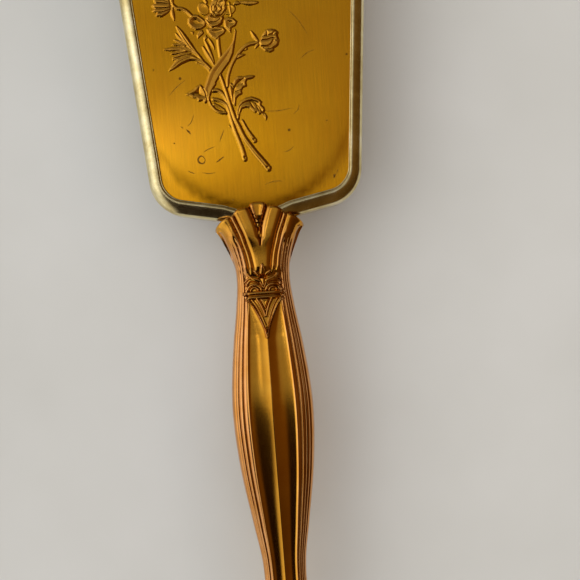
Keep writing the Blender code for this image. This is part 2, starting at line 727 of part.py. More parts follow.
for screw_number, screw_setback in enumerate(TANG_SCREW_SETBACKS, 1):
    make_tang_screw(screw_number, screw_setback)
    drill_down(bristle_block, f"block_screw_hole_{screw_number}", TANG_END_Y - screw_setback,
               SCREW_RADIUS + GAP, BLOCK_BACK, BLOCK_FACE + SCREW_TIP_CLEARANCE - GAP)
for pin_number, pin_place in enumerate(CORE_PIN_PLACES, 1):
    make_core_pin(pin_number, pin_place)
    drill_down(handle_core, f"core_pin_hole_{pin_number}", JOINT_Y - pin_place,
               CORE_PIN_RADIUS + GAP, RIM_TOP)

rim_pins = [(side, place) for side in (-1, 1) for place in RIM_PIN_PLACES]
for pin_number, (pin_side, pin_place) in enumerate(rim_pins, 1):
    make_rim_pin(pin_number, pin_side, pin_place)
drill_for_rim_pins(rim_frame, bristle_block)
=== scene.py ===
"""Vanity hairbrush: the finished look of each piece, in the order in which the brush is put together."""
import math

import bpy
import numpy as np
from mathutils import Matrix, Vector, geometry


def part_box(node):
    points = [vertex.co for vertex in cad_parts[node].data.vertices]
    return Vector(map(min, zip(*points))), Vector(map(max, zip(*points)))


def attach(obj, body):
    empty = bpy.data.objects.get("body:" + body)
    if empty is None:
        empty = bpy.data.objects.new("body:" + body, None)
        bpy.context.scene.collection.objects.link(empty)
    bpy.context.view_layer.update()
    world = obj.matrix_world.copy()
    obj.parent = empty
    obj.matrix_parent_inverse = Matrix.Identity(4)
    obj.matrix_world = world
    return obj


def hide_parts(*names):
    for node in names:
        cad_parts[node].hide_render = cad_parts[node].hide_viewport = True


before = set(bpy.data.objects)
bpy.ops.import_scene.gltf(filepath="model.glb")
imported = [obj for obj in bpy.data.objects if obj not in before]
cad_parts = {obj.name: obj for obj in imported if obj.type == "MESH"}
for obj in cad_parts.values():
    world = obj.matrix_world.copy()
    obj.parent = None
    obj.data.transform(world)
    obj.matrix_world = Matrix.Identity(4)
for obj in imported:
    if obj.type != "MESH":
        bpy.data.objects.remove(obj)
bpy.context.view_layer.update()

# ---------------------------------------------------------------------------------------------
# Bristle block
# A slab of steamed beech, drilled from the bristle side, stained and dipped in clear lacquer.
# The rim's flange is crimped round its lower edge, and four pins hold it at the sides.
# ---------------------------------------------------------------------------------------------

MM = 0.001


def paint(code):
    """An sRGB hex colour as linear RGBA."""
    channels = [int(code[i:i + 2], 16) / 255 for i in (1, 3, 5)]
    linear = [c / 12.92 if c <= 0.04045 else ((c + 0.055) / 1.055) ** 2.4 for c in channels]
    return (*linear, 1.0)


def add_node(tree, kind, settings, inputs, stops=()):
    """Adds a shader node, sets it, and gives each input a value or a link."""
    node = tree.nodes.new("ShaderNode" + kind)
    for name, value in settings.items():
        setattr(node, name, value)
    for name, value in inputs.items():
        if isinstance(value, bpy.types.NodeSocket):
            tree.links.new(value, node.inputs[name])
        else:
            node.inputs[name].default_value = value
    for index, (place, color) in enumerate(stops):
        elements = node.color_ramp.elements
        element = elements[index] if index < 2 else elements.new(place)
        element.position = place
        element.color = color
    return node


def new_finish(name, **constants):
    """A material with its constant values set on the Principled shader's own sockets."""
    material = bpy.data.materials.new(name)
    material.use_nodes = True
    shader = material.node_tree.nodes["Principled BSDF"]
    for key, value in constants.items():
        shader.inputs[key.replace("_", " ")].default_value = value
    return material, material.node_tree, shader.inputs


def wear(node_name, material):
    """Gives a CAD node that stays its finish."""
    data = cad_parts[node_name].data
    data.materials.clear()
    data.materials.append(material)


def stained_beech(name, pale, dark, roughness):
    """Planed beech: short brown rays in an even ground, drawn out along the brush's length.
    Lacquer makes it glossy; left bare it is dull."""
    material, tree, shader = new_finish(name, Roughness=roughness, IOR=1.5)
    place = add_node(tree, "TexCoord", {}, {}).outputs["Object"]
    grain_width = 0.9 * MM        # real rays are about 0.2 mm wide, too fine to be seen
    stretched = add_node(tree, "Mapping", {}, {
        "Vector": place, "Scale": (1 / grain_width, 0.05 / grain_width, 1 / grain_width)})
    grain = add_node(tree, "TexNoise", {}, {
        "Vector": stretched.outputs[0], "Scale": 1.0, "Detail": 5.0, "Roughness": 0.6})
    tone = add_node(tree, "ValToRGB", {}, {"Fac": grain.outputs["Fac"]},
                    [(0.35, paint(dark)), (0.62, paint(pale))])
    height = add_node(tree, "Bump", {}, {
        "Height": grain.outputs["Fac"], "Strength": 0.15, "Distance": 0.05 * MM})
    tree.links.new(tone.outputs[0], shader["Base Color"])
    tree.links.new(height.outputs[0], shader["Normal"])
    return material


lacquered_beech = stained_beech("lacquered_beech", "#8A5230", "#5C3018", 0.28)
lacquered_beech.node_tree.nodes["Principled BSDF"].inputs["Coat Weight"].default_value = 0.6
wear("bristle_block", lacquered_beech)

# ---------------------------------------------------------------------------------------------
# Bristle rows
# Extruded nylon filament, cut, folded over a brass draw wire in each hole, and trimmed level.
# Cream when new and a little yellowed now; each tuft spreads slightly towards its tips.
# ---------------------------------------------------------------------------------------------

ROW_COUNT = 9
FILAMENTS = 42                    # in each tuft
FILAMENT_RADIUS = 0.15 * MM
FILAMENT_SIDES = 5
FILAMENT_RINGS = 5
FILAMENT_ROUNDING = 0.7           # length of the rounded tip, as a share of the radius
ROOT_RADIUS = 1.4 * MM            # of a tuft, where it is folded over the wire
TIP_RADIUS = 1.75 * MM            # and at its tips
TUFT_FOOT = 4.2 * MM              # a CAD tuft's corners lie closer together than this
LEAN = 0.12 * MM                  # how far a filament's tip strays
BOW = 0.08 * MM                   # and how much it bends on the way
TRIM = 0.35 * MM                  # unevenness of the trimmed ends
WIRE_RADIUS = 0.4 * MM
chance = np.random.default_rng(7)


def mesh_piece(name, points, faces, material, smooth=True):
    """A mesh object that rides on the brush."""
    data = bpy.data.meshes.new(name)
    data.from_pydata([tuple(p) for p in points], [], faces)
    data.validate()
    data.materials.append(material)
    if smooth:
        data.shade_smooth()
    piece = bpy.data.objects.new(name, data)
    bpy.context.scene.collection.objects.link(piece)
    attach(piece, "root")
    return piece


def tuft_centres(node_name):
    """Middles of the CAD tufts' feet, which lie on the lowest plane."""
    feet = [v.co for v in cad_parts[node_name].data.vertices if v.co.z < 0.05 * MM]
    centres = []
    for foot in feet:
        if not any((foot.xy - other).length < TUFT_FOOT for other in centres):
            near = [p.xy for p in feet if (foot.xy - p.xy).length < TUFT_FOOT]
            centres.append(sum(near, Vector((0.0, 0.0))) / len(near))
    return centres


def add_filament(points, faces, root, tip, bow):
    """One round filament from its root to a softly rounded tip."""
    first = len(points)
    turns = np.arange(FILAMENT_SIDES) * math.tau / FILAMENT_SIDES
    for ring in range(FILAMENT_RINGS + 1):
        share = min(ring / (FILAMENT_RINGS - 1), 1.0)
        centre = root + (tip - root) * share + bow * math.sin(math.pi * share)
        radius = FILAMENT_RADIUS
        if ring == FILAMENT_RINGS:
            radius *= 0.45
            outwards = (tip - root) / np.linalg.norm(tip - root)
            centre = centre + outwards * FILAMENT_RADIUS * FILAMENT_ROUNDING
        for turn in turns:
            points.append(centre + np.array([math.cos(turn), math.sin(turn), 0.0]) * radius)
    for ring in range(FILAMENT_RINGS):
        for side in range(FILAMENT_SIDES):
            after = (side + 1) % FILAMENT_SIDES
            low = first + ring * FILAMENT_SIDES
            high = low + FILAMENT_SIDES
            faces.append((low + side, high + side, high + after, low + after))
    end = first + FILAMENT_RINGS * FILAMENT_SIDES
    faces.append(tuple(end + side for side in reversed(range(FILAMENT_SIDES))))
    faces.append(tuple(first + side for side in range(FILAMENT_SIDES)))


def yellowed_nylon():
    """Extruded nylon, yellowed in patches: a soft gloss, and a little light passes through it."""
    material, tree, shader = new_finish("yellowed_nylon_filament", Roughness=0.38, IOR=1.53)
    shader["Subsurface Weight"].default_value = 0.25
    shader["Subsurface Radius"].default_value = (0.6 * MM, 0.45 * MM, 0.3 * MM)
    shader["Subsurface Scale"].default_value = 1.0
    place = add_node(tree, "TexCoord", {}, {}).outputs["Object"]
    patch = add_node(tree, "TexNoise", {}, {"Vector": place, "Scale": 1 / (1.2 * MM), "Detail": 2.0})
    tone = add_node(tree, "ValToRGB", {}, {"Fac": patch.outputs["Fac"]},
                    [(0.3, paint("#CDB98C")), (0.7, paint("#EADFC0"))])
    tree.links.new(tone.outputs[0], shader["Base Color"])
    return material


def drawn_brass():
    """Brass wire and rod as drawn: a satin gleam, a little browner in patches."""
    material, tree, shader = new_finish("drawn_brass_wire", Metallic=1.0, Roughness=0.32)
    place = add_node(tree, "TexCoord", {}, {}).outputs["Object"]
    patch = add_node(tree, "TexNoise", {}, {"Vector": place, "Scale": 1 / (2 * MM), "Detail": 3.0})
    tone = add_node(tree, "ValToRGB", {}, {"Fac": patch.outputs["Fac"]},
                    [(0.3, paint("#A8854A")), (0.7, paint("#D6B473"))])
    tree.links.new(tone.outputs[0], shader["Base Color"])
    return material


nylon = yellowed_nylon()
brass_wire = drawn_brass()

for number in range(1, ROW_COUNT + 1):
    node = f"bristle_row_{number}"
    low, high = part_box(node)
    wire_level = high.z - WIRE_RADIUS
    points, faces = [], []
    centres = tuft_centres(node)
    for centre in centres:
        for _ in range(FILAMENTS):
            angle = chance.uniform(0, math.tau)
            spread = math.sqrt(chance.uniform(0, 1))
            away = np.array([math.cos(angle), math.sin(angle), 0.0])
            middle = np.array([centre.x, centre.y, 0.0])
            root = middle + away * spread * ROOT_RADIUS + np.array([0.0, 0.0, wire_level])
            lean = chance.normal(0, LEAN, 2)
            tip_level = FILAMENT_RADIUS * FILAMENT_ROUNDING + chance.uniform(0, TRIM) * spread
            tip = middle + away * spread * TIP_RADIUS + np.array([lean[0], lean[1], tip_level])
            bow = np.array([*chance.normal(0, BOW, 2), 0.0])
            add_filament(points, faces, root, tip, bow)
    tufts = mesh_piece(f"tufts_{number}", points, faces, nylon)
    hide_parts(node)

    route = bpy.data.curves.new(f"draw_wire_{number}", "CURVE")
    route.dimensions = "3D"
    route.bevel_depth = WIRE_RADIUS
    route.bevel_resolution = 3
    route.use_fill_caps = True
    spline = route.splines.new("POLY")
    spline.points.add(len(centres) - 1)
    for point, centre in zip(spline.points, sorted(centres, key=lambda c: c.y)):
        point.co = (centre.x, centre.y, wire_level, 1.0)
    route.materials.append(brass_wire)
    wire = bpy.data.objects.new(f"draw_wire_{number}", route)
    bpy.context.scene.collection.objects.link(wire)
    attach(wire, "root")

# ---------------------------------------------------------------------------------------------
# Tang, tang screws and core pins
# A strip of bright mild steel let into the block's back and the handle's core.  Two steel screws
# hold it in the block, and two pins cut from drawn brass rod hold it in the core.
# ---------------------------------------------------------------------------------------------


def rolled_steel():
    """Bright rolled mild steel: grey, with faint lines along its length."""
    material, tree, shader = new_finish("rolled_mild_steel", Metallic=1.0)
    place = add_node(tree, "TexCoord", {}, {}).outputs["Object"]
    lines = add_node(tree, "Mapping", {}, {
        "Vector": place, "Scale": (1 / (0.2 * MM), 1 / (8 * MM), 1 / (0.2 * MM))})
    streak = add_node(tree, "TexNoise", {}, {"Vector": lines.outputs[0], "Scale": 1.0, "Detail": 3.0})
    tone = add_node(tree, "ValToRGB", {}, {"Fac": streak.outputs["Fac"]},
                    [(0.3, paint("#8E8E90")), (0.7, paint("#C2C2C4"))])
    rough = add_node(tree, "MapRange", {}, {
        "Value": streak.outputs["Fac"], "To Min": 0.25, "To Max": 0.45})
    tree.links.new(tone.outputs[0], shader["Base Color"])
    tree.links.new(rough.outputs[0], shader["Roughness"])
    return material


steel = rolled_steel()
for node in ("tang", "tang_screw_1", "tang_screw_2"):
    wear(node, steel)
for node in ("core_pin_1", "core_pin_2"):
    wear(node, brass_wire)

# ---------------------------------------------------------------------------------------------
# Backing card
# Grey mill board cut to the panel's outline.  It lies loose on the draw wires and packs the
# space under the panel, so that the thin sheet doesn't dent or rattle.
# ---------------------------------------------------------------------------------------------


def mill_board():
    """Pressed waste-paper board: matt, with flecks of pale and dark fibre."""
    material, tree, shader = new_finish("grey_mill_board", Roughness=0.92)
    place = add_node(tree, "TexCoord", {}, {}).outputs["Object"]
    fibre = add_node(tree, "TexNoise", {}, {"Vector": place, "Scale": 1 / (0.5 * MM), "Detail": 6.0})
    tone = add_node(tree, "ValToRGB", {}, {"Fac": fibre.outputs["Fac"]},
                    [(0.35, paint("#7C756A")), (0.65, paint("#A59C8E"))])
    tree.links.new(tone.outputs[0], shader["Base Color"])
    return material


wear("panel_backing_card", mill_board())

# ---------------------------------------------------------------------------------------------
# Back panel
# Brass sheet stamped with a spray of roses, domed a little, brushed along its length and gilt.
# Its edge lies under the rim's lip.  The relief is struck into the sheet, so it is all geometry.
# ---------------------------------------------------------------------------------------------

HANDLE_LENGTH = 135.0             # from here on, shapes are worked out in millimetres
JOINT_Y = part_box("handle_front_shell")[0].y / MM + HANDLE_LENGTH
HEAD_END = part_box("rim_frame")[1].y / MM - JOINT_Y
PANEL_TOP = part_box("back_panel")[1].z / MM
PANEL_DOME = 0.9
RIM_SHEET = 0.6

# The head's corners from the joint line: x, y, radius; the edge after each corner carries a band
NECK_CORNER = (0.0, -5.4, 8.0)
HALF_CORNERS = [(11.0, -1.2, 8.0), (30.9, 2.8, 11.5), (40.0, HEAD_END - 4.4, 14.0)]
CROWN_CORNER = (0.0, HEAD_END + 1.2, 180.0)
HALF_BANDS = [4.75, 4.75, 4.0, 4.0]


def head_outline(inset=0.0, band_share=0.0, arc_steps=14):
    """The head's outline, moved inwards by inset plus a share of the rim band on each edge."""
    mirrored = [(-x, y, radius) for x, y, radius in reversed(HALF_CORNERS)]
    corners = [NECK_CORNER, *HALF_CORNERS, CROWN_CORNER, *mirrored]
    bands = HALF_BANDS + HALF_BANDS[::-1]
    points = []
    for index, (x, y, radius) in enumerate(corners):
        here = Vector((x, y))
        along_in = (here - Vector(corners[index - 1][:2])).normalized()
        along_out = (Vector(corners[(index + 1) % len(corners)][:2]) - here).normalized()
        turn = math.atan2(along_in.cross(along_out), along_in.dot(along_out))
        move_in = inset + band_share * bands[index - 1]
        move_out = inset + band_share * bands[index]
        corner = here + (along_out * move_in - along_in * move_out) / math.sin(turn)
        side = math.copysign(1.0, turn)
        radius = max(radius - side * (move_in + move_out) / 2, 0.5)
        start = corner - along_in * radius * math.tan(abs(turn) / 2)
        centre = start + Vector((-along_in.y, along_in.x)) * side * radius
        for step in range(arc_steps + 1):
            points.append(centre + Matrix.Rotation(turn * step / arc_steps, 2) @ (start - centre))
    return np.array([tuple(p) for p in points])


def curve_through(knots, steps=12):
    """A smooth line through a few knots, as points."""
    knots = [np.array(k, float) for k in knots]
    padded = [2 * knots[0] - knots[1], *knots, 2 * knots[-1] - knots[-2]]
    line = []
    for a, b, c, d in zip(padded, padded[1:], padded[2:], padded[3:]):
        for t in np.arange(steps) / steps:
            line.append(0.5 * (2 * b + (c - a) * t + (2 * a - 5 * b + 4 * c - d) * t ** 2
                               + (3 * b - a - 3 * c + d) * t ** 3))
    line.append(knots[-1])
    return np.array(line)


def beside(x, y, line, reach):
    """For the places near a line: which they are, how far along it, and how far to its left."""
    low = line.min(axis=0) - reach
    high = line.max(axis=0) + reach
    near = np.nonzero((x > low[0]) & (x < high[0]) & (y > low[1]) & (y < high[1]))[0]
    px, py = x[near], y[near]
    best = np.full(len(near), 1e9)
    along = np.zeros(len(near))
    left = np.zeros(len(near))
    lengths = np.linalg.norm(np.diff(line, axis=0), axis=1)
    total = lengths.sum()
    passed = 0.0
    for (ax, ay), (bx, by), length in zip(line, line[1:], lengths):
        ux, uy = (bx - ax) / length, (by - ay) / length
        t = np.clip((px - ax) * ux + (py - ay) * uy, 0, length)
        dx, dy = px - ax - t * ux, py - ay - t * uy
        distance = np.hypot(dx, dy)
        closer = distance < best
        best = np.where(closer, distance, best)
        along = np.where(closer, (passed + t) / total, along)
        left = np.where(closer, np.copysign(distance, ux * dy - uy * dx), left)
        passed += length
    return near, along, left


def strike_stem(relief, x, y, knots, start_radius, end_radius, height):
    """A round raised line that tapers from one radius to another."""
    line = curve_through(knots)
    near, along, left = beside(x, y, line, max(start_radius, end_radius))
    radius = start_radius + (end_radius - start_radius) * along
    dome = height * np.sqrt(np.clip(1 - (left / radius) ** 2, 0, None))
    relief[near] = np.maximum(relief[near], dome)


def cut_line(relief, x, y, knots, width, depth):
    """A groove cut into whatever is there."""
    near, _, left = beside(x, y, curve_through(knots), width * 2)
    relief[near] -= depth * np.exp(-(left / width) ** 2) * (relief[near] > 0.02)


def inside_ring(ring, x, y):
    """Which places lie inside a closed ring of points."""
    inside = np.zeros(len(x), bool)
    for (ax, ay), (bx, by) in zip(ring, np.roll(ring, -1, axis=0)):
        step = by - ay if by != ay else 1.0
        inside ^= ((ay > y) != (by > y)) & (x < ax + (y - ay) * (bx - ax) / step)
    return inside


def strike_shape(relief, x, y, corners, height, shoulder=0.55, hollow=0.3):
    """A raised shape inside a closed outline: rounded shoulder, slightly hollow middle."""
    corners = np.array(corners, float)
    low, high = corners.min(axis=0), corners.max(axis=0)
    near = np.nonzero((x > low[0]) & (x < high[0]) & (y > low[1]) & (y < high[1]))[0]
    px, py = x[near], y[near]
    inside = inside_ring(corners, px, py)
    edge = np.full(len(near), 1e9)
    for (ax, ay), (bx, by) in zip(corners, np.roll(corners, -1, axis=0)):
        size = math.hypot(bx - ax, by - ay)
        t = np.clip(((px - ax) * (bx - ax) + (py - ay) * (by - ay)) / size ** 2, 0, 1)
        edge = np.minimum(edge, np.hypot(px - ax - t * (bx - ax), py - ay - t * (by - ay)))
    t = np.clip(edge / shoulder, 0, 1)
    body = height * np.sqrt(1 - (1 - t) ** 2)
    body *= 1 - hollow * np.clip((edge - shoulder) / 1.2, 0, 1)
    relief[near] = np.where(inside, np.maximum(body, relief[near] * 0.3), relief[near])


def strike_leaf(relief, x, y, knots, width, height=0.5):
    """A small pointed blade along a curved line, with a sunk midrib."""
    line = curve_through(knots)
    near, along, left = beside(x, y, line, width)
    half = width * np.sin(math.pi * np.clip(0.08 + 0.9 * along, 0, 1)) ** 0.7 + 0.01
    across = np.abs(left) / half
    body = height * np.sqrt(np.clip(1 - across ** 2, 0, 1)) * (across < 1)
    body -= 0.35 * height * np.exp(-(left / 0.14) ** 2) * (across < 1) * (width > 0.6)
    relief[near] = np.maximum(relief[near], body)


def strike_petal(relief, x, y, centre, length, width, angle, height, cup=0.5, lift=0.0):
    """A petal: an oval with a rolled outer edge and a hollow middle, struck over what is below."""
    turn = math.radians(angle)
    reach = max(length, width) * 1.1
    near = np.nonzero((np.abs(x - centre[0]) < reach) & (np.abs(y - centre[1]) < reach))[0]
    dx, dy = x[near] - centre[0], y[near] - centre[1]
    along = (dx * math.cos(turn) + dy * math.sin(turn)) / length
    across = (-dx * math.sin(turn) + dy * math.cos(turn)) / width
    distance = np.sqrt(along ** 2 + across ** 2)
    inside = distance < 1
    edge = np.sqrt(np.clip(1 - np.clip((distance - 0.72) / 0.28, 0, 1) ** 2, 0, 1))
    bowl = height * edge * (1 - cup * np.clip(1 - distance ** 2, 0, 1) ** 0.7)
    bowl = bowl * (0.75 + 0.25 * along) + lift
    relief[near] = np.where(inside, np.maximum(bowl, relief[near] * 0.25), relief[near])


def rose_spray(x, y):
    """Height of the struck spray of roses at places given from the joint line."""
    relief = np.zeros_like(x)

    def stem(knots, start=0.6, end=0.5, height=0.45):
        strike_stem(relief, x, y, knots, start, end, height)

    def shape(corners, height=0.5, shoulder=0.6, hollow=0.35):
        strike_shape(relief, x, y, corners, height, shoulder, hollow)

    def blade(knots, width, height=0.42):
        strike_leaf(relief, x, y, knots, width, height)

    def petal(centre, length, width, angle, height=0.6, cup=0.5, lift=0.0):
        strike_petal(relief, x, y, centre, length, width, angle, height, cup, lift)

    def cut(knots, width=0.17, depth=0.3):
        cut_line(relief, x, y, knots, width, depth)

    # stems below the crossing, with their cut ends, and up to the flowers
    stem([(-2.7, 16.6), (-3.1, 18.6), (-3.6, 20.6), (-4.3, 22.8), (-5.0, 25.0), (-5.5, 27.0),
          (-6.0, 29.2), (-6.4, 31.4), (-7.2, 33.2), (-8.8, 34.3), (-10.7, 34.9)], 0.7, 0.5, 0.5)
    stem([(0.6, 21.8), (-0.6, 23.8), (-1.6, 25.6), (-2.6, 27.9)], 0.68, 0.35, 0.48)
    stem([(4.1, 13.3), (2.3, 15.9), (0.8, 17.9), (-0.6, 20.0), (-2.0, 22.2), (-3.0, 24.3),
          (-3.8, 26.4), (-4.7, 28.6), (-5.4, 31.0), (-6.1, 34.0), (-6.7, 36.6), (-7.6, 40.0),
          (-8.2, 42.0)], 0.85, 0.5, 0.6)
    stem([(-6.5, 26.6), (-5.6, 25.2), (-4.9, 23.4)], 0.3, 0.3, 0.25)
    stem([(-10.7, 37.5), (-9.3, 37.4), (-8.1, 36.6), (-7.2, 35.2), (-6.4, 33.2), (-5.6, 31.0)],
         0.55, 0.55, 0.45)
    # the right flower's stem and thorn
    stem([(-6.2, 38.4), (-5.9, 41.0), (-5.0, 43.6), (-3.7, 46.0), (-2.2, 47.9), (-0.6, 49.4),
          (1.0, 50.3), (3.4, 50.7)], 0.45, 0.55, 0.45)
    shape([(-3.0, 46.2), (-1.6, 46.7), (-0.1, 47.4), (-1.5, 47.7), (-2.4, 47.6)], 0.35, 0.35)
    shape([(-0.8, 48.4), (0.6, 48.9), (0.3, 49.6)], 0.3, 0.3)
    # feathery leaves on the left
    stem([(-10.9, 43.3), (-12.0, 44.5), (-13.4, 45.5), (-14.8, 46.1)], 0.5, 0.2, 0.42)
    stem([(-11.0, 44.0), (-12.6, 45.8), (-14.4, 47.0), (-16.4, 47.5)], 0.55, 0.5, 0.5)
    stem([(-13.0, 46.4), (-14.4, 48.5), (-16.0, 50.4)], 0.5, 0.5, 0.48)
    blade([(-14.6, 48.8), (-16.2, 50.8), (-17.7, 53.2), (-18.8, 55.2), (-20.0, 57.3)], 0.95, 0.55)
    blade([(-16.8, 51.8), (-18.6, 53.0), (-20.4, 55.2)], 0.55)
    blade([(-16.4, 51.0), (-18.6, 52.2), (-21.0, 53.3)], 0.5)
    blade([(-14.0, 47.9), (-16.0, 49.7), (-19.0, 50.5), (-24.2, 50.6)], 0.72, 0.5)
    blade([(-17.2, 50.5), (-19.2, 51.6), (-21.6, 51.9)], 0.45)
    blade([(-17.2, 49.9), (-19.4, 49.6), (-22.2, 49.2)], 0.55)
    blade([(-16.4, 48.9), (-18.8, 48.8), (-21.8, 48.0)], 0.5)
    blade([(-14.6, 47.2), (-17.0, 47.7), (-19.6, 46.9), (-21.2, 45.8), (-23.0, 44.4)], 1.05, 0.55)
    blade([(-18.2, 47.4), (-20.0, 47.5), (-21.9, 47.5)], 0.5)
    # small blades and stems under the middle flower
    blade([(-12.6, 50.6), (-11.5, 48.5), (-10.5, 46.6), (-9.6, 44.6)], 0.6, 0.5)
    blade([(-12.0, 52.6), (-11.2, 50.6), (-10.2, 47.6), (-9.6, 45.6)], 0.5, 0.42)
    blade([(-10.8, 53.0), (-9.9, 51.4), (-9.2, 49.6)], 0.4)
    stem([(-7.9, 53.6), (-7.9, 50.6), (-7.7, 47.4)], 0.5, 0.5, 0.45)
    # the broad blade across the stems, which curls round below into a loop
    shape([(-2.7, 55.4), (-3.6, 51.8), (-4.3, 50.7), (-5.6, 49.3), (-7.2, 47.7), (-9.2, 45.5),
           (-10.8, 43.7), (-11.8, 41.8), (-12.6, 39.8), (-13.4, 38.0), (-12.6, 35.9),
           (-11.6, 35.9), (-10.8, 37.5), (-9.6, 39.6), (-8.4, 41.5), (-6.8, 43.5), (-5.0, 45.6),
           (-3.8, 48.0), (-3.1, 51.0), (-2.4, 54.4)], 0.62, 0.5, 0.45)
    stem([(-13.2, 38.2), (-12.7, 36.4), (-12.1, 34.8), (-11.5, 33.2), (-10.3, 31.7),
          (-8.8, 30.9), (-7.2, 30.6)], 0.4, 0.42, 0.55)
    stem([(-9.9, 39.4), (-11.1, 37.8), (-11.9, 36.0), (-12.1, 34.6)], 0.4, 0.36, 0.6)
    stem([(-10.6, 33.4), (-9.2, 32.6), (-7.6, 31.4)], 0.4, 0.3, 0.3)
    # toothed leaves
    shape([(-18.9, 36.9), (-17.6, 37.5), (-16.2, 38.3), (-15.6, 38.9), (-14.2, 39.5),
           (-13.5, 38.8), (-12.7, 36.9), (-12.4, 35.0), (-12.7, 34.0), (-13.5, 34.1),
           (-13.8, 34.8), (-15.1, 34.6), (-15.6, 35.4), (-16.8, 35.8), (-17.7, 36.4)], 0.55, 0.5, 0.6)
    cut([(-12.8, 35.8), (-15.0, 36.8), (-17.8, 37.0)])
    cut([(-14.6, 36.8), (-14.8, 37.8), (-14.5, 38.8)])
    shape([(-5.0, 33.0), (-5.7, 35.6), (-5.9, 37.8), (-5.4, 39.4), (-4.6, 39.0), (-4.2, 40.2),
           (-3.0, 41.1), (-1.2, 40.9), (0.6, 41.1), (2.2, 40.9), (1.4, 40.2), (-0.3, 40.0),
           (-0.7, 39.2), (-0.5, 38.1), (-1.6, 37.7), (-2.2, 36.9), (-2.0, 35.9), (-3.2, 35.4),
           (-3.9, 34.6), (-4.3, 32.4)], 0.55, 0.5, 0.55)
    cut([(-4.8, 33.4), (-4.6, 36.4), (-3.4, 38.8), (-1.2, 40.4)])
    cut([(-4.6, 36.4), (-2.6, 36.9)], 0.14, 0.22)
    cut([(-3.8, 38.3), (-1.6, 38.7)], 0.14, 0.22)
    cut([(-4.4, 37.2), (-5.2, 38.6)], 0.14, 0.22)
    shape([(-4.2, 28.6), (-4.1, 30.8), (-3.6, 32.4), (-2.6, 33.7), (-1.2, 34.5), (0.6, 34.8),
           (1.7, 34.4), (2.9, 33.8), (3.6, 33.0), (3.3, 32.2), (4.1, 31.4), (4.3, 30.4),
           (3.8, 30.0), (4.4, 29.4), (4.9, 28.4), (4.4, 27.6), (3.9, 28.5), (3.2, 29.6),
           (2.4, 29.5), (1.8, 30.2), (1.4, 30.0), (0.8, 30.4), (-0.2, 31.5), (-1.2, 31.8),
           (-2.4, 31.5), (-3.1, 30.3), (-3.5, 28.4)], 0.55, 0.5, 0.55)
    cut([(-3.7, 30.0), (-2.8, 32.4), (-0.4, 33.4), (2.0, 32.6), (4.2, 28.8)])
    cut([(0.2, 33.2), (1.2, 31.4)], 0.14, 0.22)
    cut([(1.8, 32.6), (2.6, 30.6)], 0.14, 0.22)
    # middle flower: open petals, cup and wrapped bud
    shape([(-11.4, 56.6), (-12.8, 55.8), (-14.3, 55.7), (-15.7, 56.5), (-16.6, 57.8),
           (-16.4, 59.3), (-15.0, 60.3), (-13.4, 60.1), (-12.0, 59.0), (-11.0, 58.0)], 0.5, 0.5, 0.7)
    shape([(-5.9, 58.2), (-4.6, 58.8), (-3.0, 58.4), (-1.9, 57.3), (-2.5, 56.1), (-3.8, 55.6),
           (-4.0, 54.0), (-4.9, 54.9), (-5.8, 56.0)], 0.5, 0.5, 0.6)
    shape([(-12.4, 55.6), (-12.0, 54.6), (-13.9, 53.1), (-14.2, 54.2), (-13.4, 55.4)], 0.35, 0.35)
    shape([(-16.0, 55.3), (-15.2, 54.4), (-14.8, 55.2)], 0.3, 0.3)
    shape([(-11.4, 54.2), (-11.0, 53.0), (-12.1, 52.4), (-12.2, 53.4)], 0.35, 0.3)
    shape([(-11.2, 55.8), (-10.9, 54.6), (-9.9, 53.3), (-8.4, 52.3), (-7.4, 53.3), (-6.1, 54.0),
           (-5.4, 55.0), (-6.2, 56.0), (-8.6, 56.4)], 0.5, 0.45, 0.5)
    petal((-11.6, 61.8), 2.0, 1.6, 120, 0.4, 0.6)
    petal((-4.0, 61.0), 1.9, 1.5, 20, 0.4, 0.6)
    shape([(-11.4, 58.4), (-10.9, 59.6), (-9.6, 60.4), (-6.2, 60.4), (-5.8, 58.6), (-6.5, 56.9),
           (-7.9, 56.1), (-9.6, 55.9), (-10.8, 56.8)], 0.85, 0.7, 0.25)
    petal((-7.3, 61.7), 2.7, 2.5, 85, 0.95, 0.3, 0.1)
    petal((-6.3, 62.8), 1.7, 1.3, 60, 0.95, 0.4, 0.15)
    petal((-7.8, 61.2), 1.7, 1.6, 130, 1.0, 0.5, 0.15)
    cut([(-9.4, 59.5), (-7.8, 59.1), (-6.2, 59.7), (-5.2, 60.8)], 0.22, 0.45)
    cut([(-8.9, 62.2), (-9.0, 61.0), (-8.2, 60.3)], 0.2, 0.35)
    cut([(-6.0, 62.0), (-6.2, 61.0), (-7.0, 60.4)], 0.2, 0.35)
    cut([(-7.8, 62.4), (-7.4, 61.6), (-7.8, 61.0)], 0.17, 0.3)
    cut([(-10.9, 58.6), (-9.8, 57.6), (-8.2, 57.6), (-6.8, 58.4)], 0.2, 0.3)
    stem([(-3.9, 63.0), (-3.8, 61.0), (-3.6, 59.2)], 0.35, 0.3, 0.3)
